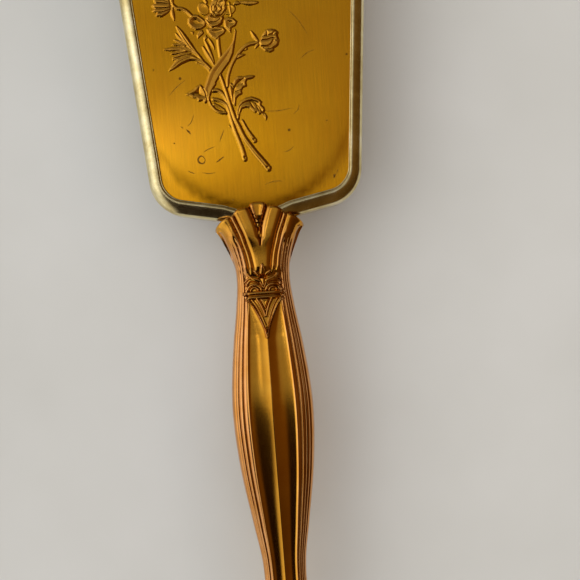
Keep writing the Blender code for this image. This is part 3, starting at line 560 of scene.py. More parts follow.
    # left bud on its side, with its stem
    stem([(-15.3, 60.0), (-16.6, 61.4), (-17.9, 62.2), (-19.5, 62.6), (-20.6, 63.6)], 0.5, 0.55, 0.5)
    shape([(-21.0, 62.4), (-20.7, 64.8), (-22.2, 66.2), (-24.2, 66.5), (-26.2, 65.6),
           (-26.0, 64.6), (-27.0, 63.9), (-26.2, 62.9), (-26.9, 62.2), (-25.6, 61.6),
           (-26.0, 60.7), (-24.0, 60.3), (-22.2, 61.4)], 0.7, 0.6, 0.1)
    cut([(-21.4, 64.6), (-23.6, 65.4), (-25.8, 65.3)], 0.2, 0.4)
    cut([(-21.4, 63.8), (-23.4, 64.2), (-26.0, 64.5)], 0.2, 0.4)
    cut([(-21.4, 62.9), (-23.6, 62.8), (-26.2, 63.0)], 0.2, 0.4)
    cut([(-21.8, 62.2), (-23.8, 61.6), (-26.0, 61.7)], 0.2, 0.4)
    cut([(-21.5, 65.6), (-21.2, 64.0), (-21.3, 62.3)], 0.16, 0.4)
    blade([(-20.6, 63.0), (-20.9, 61.6), (-20.5, 59.0)], 0.6, 0.5)
    blade([(-20.6, 63.8), (-20.8, 65.4), (-20.2, 67.4)], 0.6, 0.5)
    # right flower: a tight bud with a sepal on each side
    blade([(4.0, 50.9), (3.0, 52.2), (1.9, 54.2)], 0.55, 0.5)
    blade([(4.2, 50.4), (3.4, 49.8), (2.8, 49.0)], 0.4)
    shape([(4.0, 50.6), (4.4, 49.2), (5.6, 48.0), (7.2, 47.5), (8.2, 47.9), (8.4, 48.7),
           (9.6, 49.4), (10.1, 50.8), (9.7, 52.2), (10.0, 53.2), (9.2, 54.0), (7.8, 54.4),
           (6.3, 54.2), (5.4, 53.2), (4.7, 52.0)], 0.75, 0.65, 0.1)
    cut([(4.8, 49.4), (6.2, 49.3), (7.6, 49.9), (8.4, 51.0)], 0.22, 0.5)
    cut([(5.0, 51.2), (6.6, 51.2), (8.2, 51.6), (9.6, 50.9)], 0.18, 0.4)
    cut([(5.4, 52.4), (6.6, 52.4), (8.2, 52.7), (9.6, 52.6)], 0.18, 0.4)
    cut([(6.6, 52.6), (6.7, 53.4), (6.4, 54.2)], 0.16, 0.35)
    cut([(8.2, 52.8), (8.8, 53.4), (9.4, 53.8)], 0.16, 0.35)
    cut([(5.4, 48.9), (7.0, 48.3), (8.2, 48.7)], 0.16, 0.35)
    # the spray goes on above: stems, leaves and three more flowers
    blade([(-2.5, 62.6), (-1.6, 62.8), (-0.7, 62.6)], 0.6)
    blade([(-0.7, 63.0), (0.8, 62.7), (2.4, 62.5), (4.8, 62.5)], 0.65)
    stem([(-8.4, 64.0), (-9.0, 68.5), (-8.0, 74.0), (-5.6, 79.0)], 0.5, 0.45, 0.45)
    stem([(-4.8, 64.0), (-2.6, 70.0), (2.0, 76.0), (6.8, 80.0)], 0.45, 0.4, 0.42)
    stem([(-10.6, 63.6), (-13.6, 69.5), (-17.2, 75.0)], 0.45, 0.4, 0.42)
    shape([(-4.0, 66.4), (-2.4, 67.6), (-0.6, 67.8), (0.4, 69.0), (2.2, 68.6), (3.4, 69.4),
           (5.6, 68.8), (4.4, 67.8), (4.2, 66.6), (2.6, 66.6), (1.6, 65.6), (0.2, 66.2),
           (-1.8, 65.6)], 0.5, 0.5, 0.5)
    cut([(-3.6, 66.6), (0.4, 67.2), (4.8, 68.4)])
    shape([(-12.6, 67.4), (-14.2, 68.8), (-15.6, 68.6), (-17.0, 69.8), (-18.8, 69.4),
           (-20.4, 70.0), (-22.0, 69.0), (-20.2, 68.2), (-19.6, 67.0), (-17.8, 67.2),
           (-16.8, 66.2), (-15.0, 66.8)], 0.5, 0.5, 0.5)
    cut([(-13.0, 67.6), (-17.0, 68.2), (-21.2, 69.0)])
    shape([(-8.8, 71.0), (-10.6, 72.0), (-10.8, 73.6), (-12.2, 74.6), (-12.0, 76.4),
           (-13.2, 78.0), (-12.8, 80.0), (-11.4, 79.0), (-9.8, 78.6), (-9.8, 77.0), (-8.6, 75.8),
           (-8.8, 73.8)], 0.5, 0.5, 0.5)
    cut([(-8.9, 71.6), (-10.4, 75.4), (-12.4, 79.2)])
    shape([(0.8, 74.8), (2.4, 75.8), (4.0, 75.4), (5.6, 76.4), (7.4, 75.6), (9.6, 76.0),
           (8.2, 74.8), (8.0, 73.6), (6.2, 73.6), (5.0, 72.6), (3.4, 73.4), (1.8, 73.2)],
          0.5, 0.5, 0.5)
    cut([(1.4, 74.4), (5.0, 74.4), (8.8, 75.6)])
    for middle_x, middle_y, size, facing in ((-5.2, 82.6, 1.1, 80), (8.8, 81.6, 0.8, 40),
                                             (-18.6, 77.0, 0.8, 130)):
        for index in range(5):
            turn = math.radians(facing + index * 72)
            petal((middle_x + 2.6 * size * math.cos(turn), middle_y + 2.6 * size * math.sin(turn)),
                  2.2 * size, 1.9 * size, facing + index * 72, 0.5, 0.6)
        for index in range(3):
            turn = math.radians(facing + 40 + index * 120)
            petal((middle_x + 1.1 * size * math.cos(turn), middle_y + 1.1 * size * math.sin(turn)),
                  1.8 * size, 1.6 * size, facing + 40 + index * 120, 0.75, 0.5, 0.1)
        petal((middle_x, middle_y), 1.1 * size, 1.0 * size, facing, 0.9, 0.6, 0.2)
    # cut ends of the stems are hollow
    for end_x, end_y in ((3.8, 13.6), (-2.7, 17.0), (0.45, 22.1)):
        dip = np.exp(-((x - end_x) ** 2 + (y - end_y) ** 2) / 0.1)
        relief -= 0.3 * dip * (relief > 0)
    return np.clip(relief, 0, None)


RELIEF_STEP = 0.16                # spacing of the places where the relief is drawn
PLAIN_STEP = 2.0                  # and where the sheet is plain
RELIEF_HEIGHT = 0.64              # overall strength of the strike
SPRAY_BOX = (-28.4, 12.0, 14.0, 89.0)


def panel_level(x, y):
    """The sheet's own height: flat under the rim, domed inside it."""
    middle = HEAD_END / 2
    near = 1 - np.clip(np.hypot(x / 38.0, (y - middle) / 54.0), 0, 1) ** 2
    return PANEL_TOP - PANEL_DOME + PANEL_DOME * np.sqrt(near)


def lattice(box, step):
    """Evenly spread places in a box, every other line moved over by half a step."""
    xs = np.arange(box[0], box[2] + step / 2, step)
    ys = np.arange(box[1], box[3] + step / 2, step)
    grid_x, grid_y = np.meshgrid(xs, ys)
    return grid_x + (np.arange(len(ys)) % 2)[:, None] * step / 2, grid_y


def struck_places():
    """Close-set places where the sheet carries relief, and wide-set ones elsewhere."""
    x, y = lattice(SPRAY_BOX, RELIEF_STEP)
    relief = rose_spray(x.ravel(), y.ravel()).reshape(x.shape)
    used = relief > 0
    # three more lines of close-set places round every struck shape
    for _ in range(3):
        wider = used.copy()
        wider[1:] |= used[:-1]
        wider[:-1] |= used[1:]
        wider[:, 1:] |= used[:, :-1]
        wider[:, :-1] |= used[:, 1:]
        used = wider
    fine = np.column_stack([x[used], y[used], relief[used]])
    cells = set(map(tuple, np.round(fine[:, :2] / PLAIN_STEP).astype(int)))
    x, y = lattice((-40.0, -6.0, 40.0, HEAD_END), PLAIN_STEP)
    plain = np.column_stack([x.ravel(), y.ravel(), np.zeros(x.size)])
    free = [tuple(cell) not in cells for cell in np.round(plain[:, :2] / PLAIN_STEP).astype(int)]
    return np.concatenate([fine, plain[np.array(free)]])


def store(data, name, values):
    """Keeps one number for each point of a mesh, for a finish to read."""
    attribute = data.attributes.new(name, "FLOAT", "POINT")
    attribute.data.foreach_set("value", np.asarray(values, np.float32))


def make_panel(material):
    """The sheet from under the rim's band inwards, raised where the spray is struck."""
    edge = head_outline(RIM_SHEET + 0.6, 0.0, 6)
    places = struck_places()
    middle = np.array([0.0, HEAD_END / 2])
    keep = inside_ring(middle + (edge - middle) * 0.985, places[:, 0], places[:, 1])
    places = places[keep]
    flat = [Vector(p) for p in edge] + [Vector(p) for p in places[:, :2]]
    found, _, faces, origins, _, _ = geometry.delaunay_2d_cdt(
        flat, [], [list(range(len(edge)))], 1, 1e-6)
    heights = np.concatenate([np.zeros(len(edge)), places[:, 2]])
    raised = np.array([heights[source[0]] if source else 0.0 for source in origins])
    px, py = np.array([tuple(p) for p in found]).T
    level = panel_level(px, py) + raised * RELIEF_HEIGHT
    points = np.column_stack([px, py + JOINT_Y, level]) * MM
    piece = mesh_piece("struck_back_panel", points, faces, material)
    store(piece.data, "struck_height", raised)
    corners = np.zeros(len(piece.data.loops), np.int32)
    piece.data.loops.foreach_get("vertex_index", corners)
    hairline = piece.data.uv_layers.new(name="hairline")
    hairline.data.foreach_set("uv", points[corners][:, :2].ravel().astype(np.float32))
    return piece


def brushed_gilt():
    """Gilt brass brushed along the panel: satin, with the light drawn out across the hairlines,
    painted shade round the foot of the struck work, and a paler top: part rubbing, part painted highlight.
    Real hairlines are about 0.05 mm apart; they are drawn at 0.35 mm so that they can be seen."""
    material, tree, shader = new_finish("brushed_gilt_brass", Metallic=1.0, Anisotropic=0.8,
                                        Coat_Weight=0.25, Coat_Roughness=0.12)
    place = add_node(tree, "TexCoord", {}, {}).outputs["Object"]
    hair = add_node(tree, "Mapping", {}, {
        "Vector": place, "Scale": (1 / (0.35 * MM), 1 / (14 * MM), 1 / (3 * MM))})
    lines = add_node(tree, "TexNoise", {}, {
        "Vector": hair.outputs[0], "Scale": 1.0, "Detail": 4.0, "Roughness": 0.65})
    cloud = add_node(tree, "TexNoise", {}, {
        "Vector": place, "Scale": 1 / (22 * MM), "Detail": 4.0, "Roughness": 0.55})
    tone = add_node(tree, "ValToRGB", {}, {"Fac": cloud.outputs["Fac"]},
                    [(0.3, paint("#DC9806")), (0.7, paint("#E8A810"))])
    shade = add_node(tree, "MapRange", {}, {
        "Value": lines.outputs["Fac"], "From Min": 0.3, "From Max": 0.7, "To Min": 0.9, "To Max": 1.06})
    streaked = add_node(tree, "Mix", {"data_type": "RGBA", "blend_type": "MULTIPLY"}, {
        0: 1.0, 6: tone.outputs[0], 7: shade.outputs[0]})
    height = add_node(tree, "Attribute", {"attribute_name": "struck_height"}, {})
    # painted shade: darker where the struck work meets the sheet, which draws its outline
    foot_shade = add_node(tree, "ValToRGB", {}, {"Fac": height.outputs["Fac"]}, [
        (0.0, (1.0, 1.0, 1.0, 1.0)), (0.05, (0.88, 0.84, 0.78, 1.0)), (0.3, (1.0, 1.0, 1.0, 1.0))])
    # the painted shade at the foot of the struck work is multiplied into the streaked colour
    worn = add_node(tree, "Mix", {"data_type": "RGBA", "blend_type": "MULTIPLY"}, {
        0: 0.8, 6: streaked.outputs[2], 7: foot_shade.outputs[0]})
    # paler tint on the struck work: part rubbing, part painted highlight
    paler = add_node(tree, "MapRange", {}, {
        "Value": height.outputs["Fac"], "From Min": 0.08, "From Max": 0.35, "To Max": 0.18})
    worn = add_node(tree, "Mix", {"data_type": "RGBA"}, {
        0: paler.outputs[0], 6: worn.outputs[2], 7: paint("#ECB070")})
    speck_place = add_node(tree, "TexVoronoi", {}, {"Vector": place, "Scale": 1 / (9 * MM)})
    speck = add_node(tree, "ValToRGB", {}, {"Fac": speck_place.outputs["Distance"]}, [
        (0.035, paint("#5A3208")), (0.06, (1.0, 1.0, 1.0, 1.0))])
    spotted = add_node(tree, "Mix", {"data_type": "RGBA", "blend_type": "MULTIPLY"}, {
        0: 0.75, 6: worn.outputs[2], 7: speck.outputs[0]})
    rough = add_node(tree, "MapRange", {}, {
        "Value": cloud.outputs["Fac"], "To Min": 0.15, "To Max": 0.21})
    bump = add_node(tree, "Bump", {}, {
        "Height": lines.outputs["Fac"], "Strength": 0.14, "Distance": 0.02 * MM})
    grain = add_node(tree, "Tangent", {"direction_type": "UV_MAP", "uv_map": "hairline"}, {})
    tree.links.new(spotted.outputs[2], shader["Base Color"])
    tree.links.new(rough.outputs[0], shader["Roughness"])
    tree.links.new(bump.outputs[0], shader["Normal"])
    tree.links.new(grain.outputs[0], shader["Tangent"])
    return material


panel = make_panel(brushed_gilt())
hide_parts("back_panel")


MARK_LIFT = 0.012                 # keeps a mark just clear of the sheet


def lay_mark(points, faces, knots, width):
    """A hair-thin flat mark that follows the sheet, tapered at both ends."""
    line = curve_through(knots, 8)
    along = np.gradient(line, axis=0)
    beside_line = np.column_stack([-along[:, 1], along[:, 0]])
    beside_line /= np.linalg.norm(beside_line, axis=1)[:, None]
    taper = np.sin(math.pi * np.linspace(0.08, 0.92, len(line)))[:, None] * width / 2
    first = len(points)
    for px, py in np.concatenate([line - beside_line * taper, line + beside_line * taper]):
        level = panel_level(px, py) + MARK_LIFT
        points.append((px * MM, (py + JOINT_Y) * MM, level * MM))
    count = len(line)
    faces += [(first + i, first + i + 1, first + count + i + 1, first + count + i)
              for i in range(count - 1)]


def tarnished_brass():
    """Where the gilding is scratched through, the bare brass has gone brown and dull."""
    material, tree, shader = new_finish("tarnished_brass", Metallic=0.6, Roughness=0.6)
    place = add_node(tree, "TexCoord", {}, {}).outputs["Object"]
    patch = add_node(tree, "TexNoise", {}, {"Vector": place, "Scale": 1 / (0.6 * MM), "Detail": 4.0})
    tone = add_node(tree, "ValToRGB", {}, {"Fac": patch.outputs["Fac"]},
                    [(0.35, paint("#5A3606")), (0.6, paint("#9C6A10"))])
    tree.links.new(tone.outputs[0], shader["Base Color"])
    return material


# Scratches, a ring mark and spots: the line each follows from the joint line, and its width
MARKS = [
    ([(-14.4, 17.2), (-15.0, 18.2), (-15.8, 18.4), (-16.5, 17.6), (-16.3, 16.6), (-15.3, 16.2),
      (-14.6, 16.7), (-14.4, 17.4)], 0.5),
    ([(-19.4, 26.6), (-18.7, 25.9), (-18.2, 25.1)], 0.55), ([(-21.0, 27.6), (-20.2, 27.0)], 0.3),
    ([(-14.8, 19.5), (-13.3, 20.3), (-11.3, 20.9)], 0.28),
    ([(-11.3, 16.2), (-10.0, 17.0), (-8.8, 17.8)], 0.4),
    ([(-16.8, 30.8), (-17.8, 28.6), (-18.9, 27.6)], 0.25),
    ([(-8.2, 25.8), (-9.2, 23.6), (-9.8, 22.2)], 0.28),
    ([(-19.8, 14.3), (-18.8, 13.8), (-17.8, 13.4)], 0.3),
    ([(-15.6, 13.5), (-13.6, 13.1), (-11.8, 13.2)], 0.28),
    ([(4.4, 30.3), (8.0, 30.1), (12.4, 30.6)], 0.22), ([(-23.6, 37.0), (-21.4, 39.2), (-18.6, 41.2)], 0.25),
    ([(9.0, 17.8), (10.6, 18.2), (12.0, 19.2)], 0.25), ([(12.6, 28.8), (14.0, 30.0), (14.6, 31.6)], 0.2),
    ([(-7.3, 4.8), (-7.0, 4.8)], 0.55), ([(23.2, 9.0), (23.6, 10.4), (24.6, 11.6)], 0.8),
    ([(24.0, 13.0), (25.2, 13.8), (25.6, 15.2)], 0.9), ([(22.0, 26.0), (22.6, 26.4)], 0.4),
    ([(-23.4, 23.0), (-23.1, 22.6)], 0.4), ([(16.0, 45.0), (18.0, 46.6), (20.4, 47.4)], 0.2),
    ([(13.0, 60.0), (16.0, 56.6), (18.6, 52.0)], 0.2), ([(2.4, 8.6), (5.6, 9.4), (8.2, 9.2)], 0.22)]
mark_points, mark_faces = [], []
for knots, width in MARKS:
    lay_mark(mark_points, mark_faces, knots, width)
marks = mesh_piece("tarnish_marks", mark_points, mark_faces, tarnished_brass())

# ---------------------------------------------------------------------------------------------
# Rim frame
# A channel rolled from brass strip, its joint hidden under the palmette, polished and gilt with
# a greener, older colour than the handle.  Its lip holds the panel and its flange the block.
# ---------------------------------------------------------------------------------------------

RIM_LOW, RIM_HIGH = (corner.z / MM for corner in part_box("rim_frame"))
SHOULDER = 2.7                    # radius between the outer wall and the band
CREST = 0.84                      # where the rim is highest, as a share of its band
LIP_ROUND = 0.24                  # radius of the lip's edge
LIP_DEPTH = 0.9
FLANGE = 2.2                      # width of the flange crimped under the block


def quarter(steps):
    """Angles of a quarter turn."""
    return [math.radians(90 * step / steps) for step in range(steps + 1)]


def rim_section():
    """The channel's section as (inset, share of band, height), all the way round."""
    outside = [(FLANGE, 0.0, RIM_LOW), (RIM_SHEET, 0.0, RIM_LOW)]
    outside += [(RIM_SHEET * (1 - math.sin(a)), 0.0, RIM_LOW + RIM_SHEET * (1 - math.cos(a)))
                for a in quarter(4)[1:]]
    outside += [(0.0, 0.0, RIM_LOW + share * (RIM_HIGH - SHOULDER - RIM_LOW))
                for share in (0.3, 0.6, 0.9)]
    outside += [(0.0, CREST * (1 - math.cos(a)), RIM_HIGH - SHOULDER * (1 - math.sin(a)))
                for a in quarter(12)]
    outside += [(0.0, CREST + (0.92 - CREST) * t, RIM_HIGH - 0.5 * t ** 1.8)
                for t in (0.3, 0.6, 0.8, 1.0)]
    outside += [(-0.52, 1.0, RIM_HIGH - 0.62)]
    outside += [(LIP_ROUND * (math.cos(a) - 1), 1.0, RIM_HIGH - 0.52 + LIP_ROUND * math.sin(a))
                for a in (math.radians(d) for d in (170, 140, 110, 80, 50, 20, -10))]
    inner = [(0.0, 1.0, RIM_HIGH - LIP_DEPTH), (-RIM_SHEET, 1.0, RIM_HIGH - LIP_DEPTH),
             (-RIM_SHEET, 0.9, RIM_HIGH - LIP_DEPTH + 0.05)]
    shell = SHOULDER - RIM_SHEET
    inner += [(RIM_SHEET + shell * (1 - math.cos(a)), 0.0,
               RIM_HIGH - LIP_DEPTH - 0.1 - shell * (1 - math.sin(a))) for a in reversed(quarter(4))]
    inner += [(RIM_SHEET, 0.0, RIM_LOW + RIM_SHEET), (FLANGE, 0.0, RIM_LOW + RIM_SHEET)]
    return outside + inner


def looped_mesh(rings):
    """Points and faces of rings joined each to the next and the last to the first."""
    count = len(rings[0])
    points = [point for ring in rings for point in ring]
    faces = []
    for index in range(len(rings)):
        low = index * count
        high = ((index + 1) % len(rings)) * count
        for i in range(count):
            j = (i + 1) % count
            faces.append((low + i, low + j, high + j, high + i))
    return points, faces


def polished_gilt_rim():
    """Olive gilt, polished; thin in places, so the colour is uneven and greener where it is worn.
    Fine handling scratches blur the reflections a little."""
    material, tree, shader = new_finish("polished_olive_gilt", Metallic=1.0)
    place = add_node(tree, "TexCoord", {}, {}).outputs["Object"]
    cloud = add_node(tree, "TexNoise", {}, {
        "Vector": place, "Scale": 1 / (7 * MM), "Detail": 6.0, "Roughness": 0.65})
    tone = add_node(tree, "ValToRGB", {}, {"Fac": cloud.outputs["Fac"]}, [
        (0.32, paint("#C4B078")), (0.55, paint("#E6D8A8")), (0.72, paint("#F2E8CA"))])
    scratch = add_node(tree, "TexNoise", {}, {
        "Vector": place, "Scale": 1 / (0.5 * MM), "Detail": 5.0, "Roughness": 0.7})
    rough = add_node(tree, "MapRange", {}, {
        "Value": scratch.outputs["Fac"], "To Min": 0.1, "To Max": 0.3})
    bump = add_node(tree, "Bump", {}, {
        "Height": scratch.outputs["Fac"], "Strength": 0.12, "Distance": 0.04 * MM})
    tree.links.new(tone.outputs[0], shader["Base Color"])
    tree.links.new(rough.outputs[0], shader["Roughness"])
    tree.links.new(bump.outputs[0], shader["Normal"])
    return material


rim_rings = []
for inset, share, level in rim_section():
    outline = head_outline(inset, share)
    rim_rings.append([(x * MM, (y + JOINT_Y) * MM, level * MM) for x, y in outline])
rim_points, rim_faces = looped_mesh(rim_rings)
rim = mesh_piece("rolled_rim_frame", rim_points, rim_faces, polished_gilt_rim())
rim.data.set_sharp_from_angle(angle=math.radians(40))
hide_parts("rim_frame")

RIM_PIN_HEAD = 0.95               # height of the heads before they are filed down
PIN_STANDS_OUT = 0.15             # and how far they still stand out of the band
for number in range(1, 5):
    node = f"rim_pin_{number}"
    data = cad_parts[node].data
    low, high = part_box(node)
    side = math.copysign(1.0, low.x + high.x)
    outer = max(abs(low.x), abs(high.x)) / MM - RIM_PIN_HEAD + PIN_STANDS_OUT
    points = [(side * min(abs(v.co.x) / MM, outer) * MM, v.co.y, v.co.z) for v in data.vertices]
    pin = mesh_piece(f"filed_rim_pin_{number}", points, [tuple(f.vertices) for f in data.polygons],
                     brass_wire, smooth=False)
    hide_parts(node)

# ---------------------------------------------------------------------------------------------
# Handle core
# Plain beech, turned and planed to fit the shells' inside, with a slot for the tang.  It keeps
# the thin shells from denting, and nothing of it shows but the dark of the seam.
# ---------------------------------------------------------------------------------------------

wear("handle_core", stained_beech("plain_beech", "#A98257", "#7E5C38", 0.7))

# ---------------------------------------------------------------------------------------------
# Handle shells
# Two like stampings in soft brass, soldered edge to edge round the core, polished and gilt in a
# copper-red gold.  Palmette over the rim, floret and bars at the neck, flutes and reeds below.
# ---------------------------------------------------------------------------------------------

SPLIT = (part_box("handle_front_shell")[0].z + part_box("handle_back_shell")[1].z) / 2 / MM
SEAM = 0.15                       # half the gap between the two shells
SHELL_SHEET = 0.45                # thickness that shows where an edge is folded in
TIPS = 3.9                        # the palmette's outer tips, behind the joint line
END_ROUND = 8.0                   # length of the rounded end
# Half widths and half heights at distances from the joint line
HALF_WIDTHS = [(0.0, 13.4), (3.7, 13.4), (6.2, 11.9), (9.2, 10.5), (12.2, 9.2), (15.0, 8.3),
               (19.5, 8.0), (27.0, 8.7), (39.0, 10.5), (57.0, 12.1), (74.5, 11.1), (92.0, 8.4),
               (104.0, 6.5), (110.0, 6.3), (120.0, 7.4), (127.0, 8.6), (136.0, 8.8)]
HALF_HEIGHTS = [(0.0, 6.95), (8.0, 6.85), (15.0, 6.65), (20.0, 6.5), (40.0, 6.7), (57.0, 7.0),
                (81.0, 6.3), (108.0, 4.8), (125.0, 5.0), (136.0, 5.0)]
# The palmette's scalloped top edge: distance from the middle, distance behind the joint line
PALMETTE_EDGE = [(0.0, -3.5), (1.2, -3.4), (2.2, -3.0), (2.7, -2.3), (3.1, -1.9), (3.5, -2.1),
                 (4.6, -2.0), (5.8, -1.7), (6.8, -1.0), (7.5, -0.2), (7.9, 0.5), (8.3, 0.4),
                 (9.4, 0.7), (10.8, 1.5), (12.0, 2.6), (12.7, 3.3), (13.4, 4.1)]
# The wedge's edge and the bead beside it: distance from the joint line, distance from the middle
WEDGE_EDGE = [(-4.0, 2.9), (-2.0, 2.5), (0.0, 1.75), (2.0, 1.05), (4.0, 0.55), (6.5, 0.22), (9.4, 0.0)]
BEAD_LINE = [(-2.0, 8.6), (0.6, 7.7), (3.0, 6.75), (5.5, 5.75), (8.7, 4.8), (11.5, 4.0), (15.0, 3.4),
             (19.0, 3.0), (24.0, 2.8)]
# The hanging point under the bars, in the same way
POINT_EDGE = [(24.0, 5.6), (25.2, 5.1), (27.0, 3.6), (29.4, 2.4), (32.0, 1.3), (34.4, 0.55),
              (36.6, 0.0)]
REED_LINES = [0.57, 0.70, 0.82, 0.90, 1.02]       # shares of the half width
FLUTE_DEPTH = 0.5
COLUMNS = 101                     # of points on each half of the section


def smooth_value(points, x):
    """Value at x of a smooth curve through a few points."""
    px, py = np.array(points, float).T
    slope = np.gradient(py, px)
    slope[0] = slope[-1] = 0.0
    x = np.clip(x, px[0], px[-1])
    i = np.clip(np.searchsorted(px, x, side="right") - 1, 0, len(px) - 2)
    width = px[i + 1] - px[i]
    t = (x - px[i]) / width
    return ((2 * t ** 3 - 3 * t ** 2 + 1) * py[i] + (t ** 3 - 2 * t ** 2 + t) * width * slope[i]
            + (3 * t ** 2 - 2 * t ** 3) * py[i + 1] + (t ** 3 - t ** 2) * width * slope[i + 1])


def ease(t):
    """0 up to 0, 1 from 1 on, and a soft step between them."""
    t = np.clip(t, 0, 1)
    return t * t * (3 - 2 * t)


def hump(distance, half):
    """A rounded ridge: 1 on its line, 0 at its half width and beyond."""
    return np.sqrt(np.clip(1 - (distance / half) ** 2, 0, 1))


def end_share(s):
    """Share of the full section that is left towards the rounded end."""
    q = np.clip((s - (HANDLE_LENGTH - END_ROUND)) / END_ROUND, 0, 0.9985)
    return (1 - q ** 2.6) ** (1 / 2.2)


def half_width(s):
    return smooth_value(HALF_WIDTHS, s) * end_share(s)


def half_height(s):
    return smooth_value(HALF_HEIGHTS, s) * end_share(s)


def arch(f):
    """A rounded top between 0 and 1."""
    return 1 - np.abs(2 * np.clip(f, 0, 1) - 1) ** 2.4


def palmette_relief(ax, s, w):
    """Lobes of the palmette: middle wedge, two main lobes, two outer ones that turn to reeds."""
    bead = smooth_value(BEAD_LINE, s)
    wedge = np.interp(s, *np.array(WEDGE_EDGE).T)
    lobe_end = bead - 0.75
    # below the wedge's point the two main lobes run together
    joined = (lobe_end - wedge) * ease((s - 6.5) / 3.5)
    f = np.clip((ax - wedge + joined) / np.maximum(lobe_end - wedge + joined, 0.05), 0, 1)
    strength = 0.7 - 0.15 * ease((s - 4) / 9)
    relief = strength * (1 - np.abs(2 * f - 1) ** 4)
    sunk = np.clip(wedge / 2.6, 0, 1)
    # the wedge: a raised edge along its left and right, and a shallow trough between them
    g = np.clip(ax / np.maximum(wedge, 0.05), 0, 1)
    inside = 0.8 * ease(3 * (1 - g)) * (0.62 + 0.38 * g ** 2) * np.clip(sunk * 1.6, 0, 1)
    relief = np.where(ax < wedge, inside, relief)
    relief -= 0.38 * np.exp(-((ax - wedge) / 0.24) ** 2) * (1 - ease((s - 7) / 2.6))
    # a thin bead between the main and the outer lobe, with a groove on each side
    relief = np.where(ax > lobe_end, 0.0, relief)
    relief += 0.42 * hump(ax - bead, 0.52)
    relief -= 0.15 * np.exp(-((ax - bead + 0.7) / 0.22) ** 2)
    relief -= 0.15 * np.exp(-((ax - bead - 0.7) / 0.22) ** 2)
    outer = np.clip((ax - bead - 0.8) / np.maximum(w * 0.985 - bead - 0.8, 0.1), 0, 1)
    whole = 0.6 * arch(outer ** 0.85)
    up_to_reeds = np.maximum(REED_LINES[1] * w - bead - 0.8, 0.3)
    flat = 0.4 * arch(np.clip((ax - bead - 0.8) / up_to_reeds, 0, 1))
    share = 1 - ease((s - 6.0) / 3.5)
    relief += np.where(ax > bead + 0.8, whole * share + flat * (1 - share), 0.0)
    return relief


def reed_relief(r, s, w):
    """Four reeds beside the flutes, two wide ones and two finer ones at the seam."""
    relief = np.zeros_like(r)
    for low, high in zip(REED_LINES, REED_LINES[1:]):
        f = np.clip((r - low) / (high - low), 0, 1)
        size = 0.3 * np.clip((high - low) * w / 1.1, 0.45, 1.0)
        relief = np.where((r > low) & (r <= high), size * (arch(f) - 0.6), relief)
    return relief


def neck_ornament(x, s):
    """Floret, scrolls, arches, bars and hanging points at the neck."""
    relief = np.zeros_like(x)

    def stem(knots, start, end, height):
        strike_stem(relief, x, s, knots, start, end, height)

    for side in (-1, 1):
        stem([(side * 0.95, 18.0), (side * 1.7, 17.4), (side * 2.5, 16.7)], 0.62, 0.22, 0.5)
        stem([(side * 1.0, 19.7), (side * 2.2, 19.2), (side * 3.4, 18.7), (side * 4.3, 17.9)],
             0.5, 0.36, 0.55)
        stem([(side * 1.3, 20.0), (side * 2.4, 19.6), (side * 3.7, 19.5), (side * 4.5, 20.0),
              (side * 5.0, 20.9)], 0.4, 0.4, 0.46)
        stem([(side * 4.0, 18.9), (side * 4.8, 19.2), (side * 5.4, 19.9)], 0.3, 0.28, 0.4)
        middle = side * 2.75
        stem([(middle + 2.1 * math.cos(a), 22.6 - 1.75 * math.sin(a))
              for a in np.radians([8, 35, 65, 90, 115, 145, 172])], 0.44, 0.44, 0.55)
        stem([(middle + 1.15 * math.cos(a), 22.6 - 0.95 * math.sin(a))
              for a in np.radians([8, 45, 90, 135, 172])], 0.34, 0.34, 0.46)
        stem([(side * 4.9, 25.1), (side * 3.5, 26.9), (side * 2.3, 29.3), (side * 1.2, 32.0),
              (side * 0.45, 34.4), (side * 0.1, 36.6)], 0.42, 0.3, 0.52)
        stem([(side * 3.9, 25.1), (side * 2.7, 26.9), (side * 1.7, 29.0), (side * 0.8, 31.4),
              (side * 0.15, 33.4)], 0.3, 0.26, 0.32)
        stem([(side * 2.2, 25.0), (side * 1.25, 26.7), (side * 0.55, 28.5), (side * 0.1, 30.2)],
             0.4, 0.3, 0.52)
        strike_petal(relief, x, s, (side * 5.45, 24.4), 0.42, 0.4, 0, 0.6, 0.0)
        strike_petal(relief, x, s, (side * 5.3, 25.3), 0.38, 0.3, 0, 0.5, 0.0)
        strike_petal(relief, x, s, (side * 5.2, 22.5), 0.45, 0.34, 0, 0.5, 0.0)
        stem([(side * 0.85, 20.2), (side * 0.5, 21.0), (side * 0.05, 21.8)], 0.26, 0.24, 0.5)
    stem([(0.0, 17.3), (0.0, 16.3), (0.0, 15.0)], 0.95, 0.3, 0.62)
    stem([(0.0, 19.3), (0.0, 20.0), (0.0, 20.9)], 0.8, 0.3, 0.62)
    stem([(-5.7, 23.35), (0.0, 23.35), (5.8, 23.35)], 0.58, 0.58, 0.7)
    stem([(-5.2, 24.6), (0.0, 24.6), (5.2, 24.6)], 0.42, 0.42, 0.5)
    strike_shape(relief, x, s, [(-1.35, 25.1), (1.35, 25.1), (0.1, 28.0), (-0.1, 28.0)], 0.42, 0.4, 0.2)
    hollow = np.exp(-((x / 1.1) ** 2 + ((s - 18.4) / 0.55) ** 2) ** 2)
    return relief - 0.55 * hollow


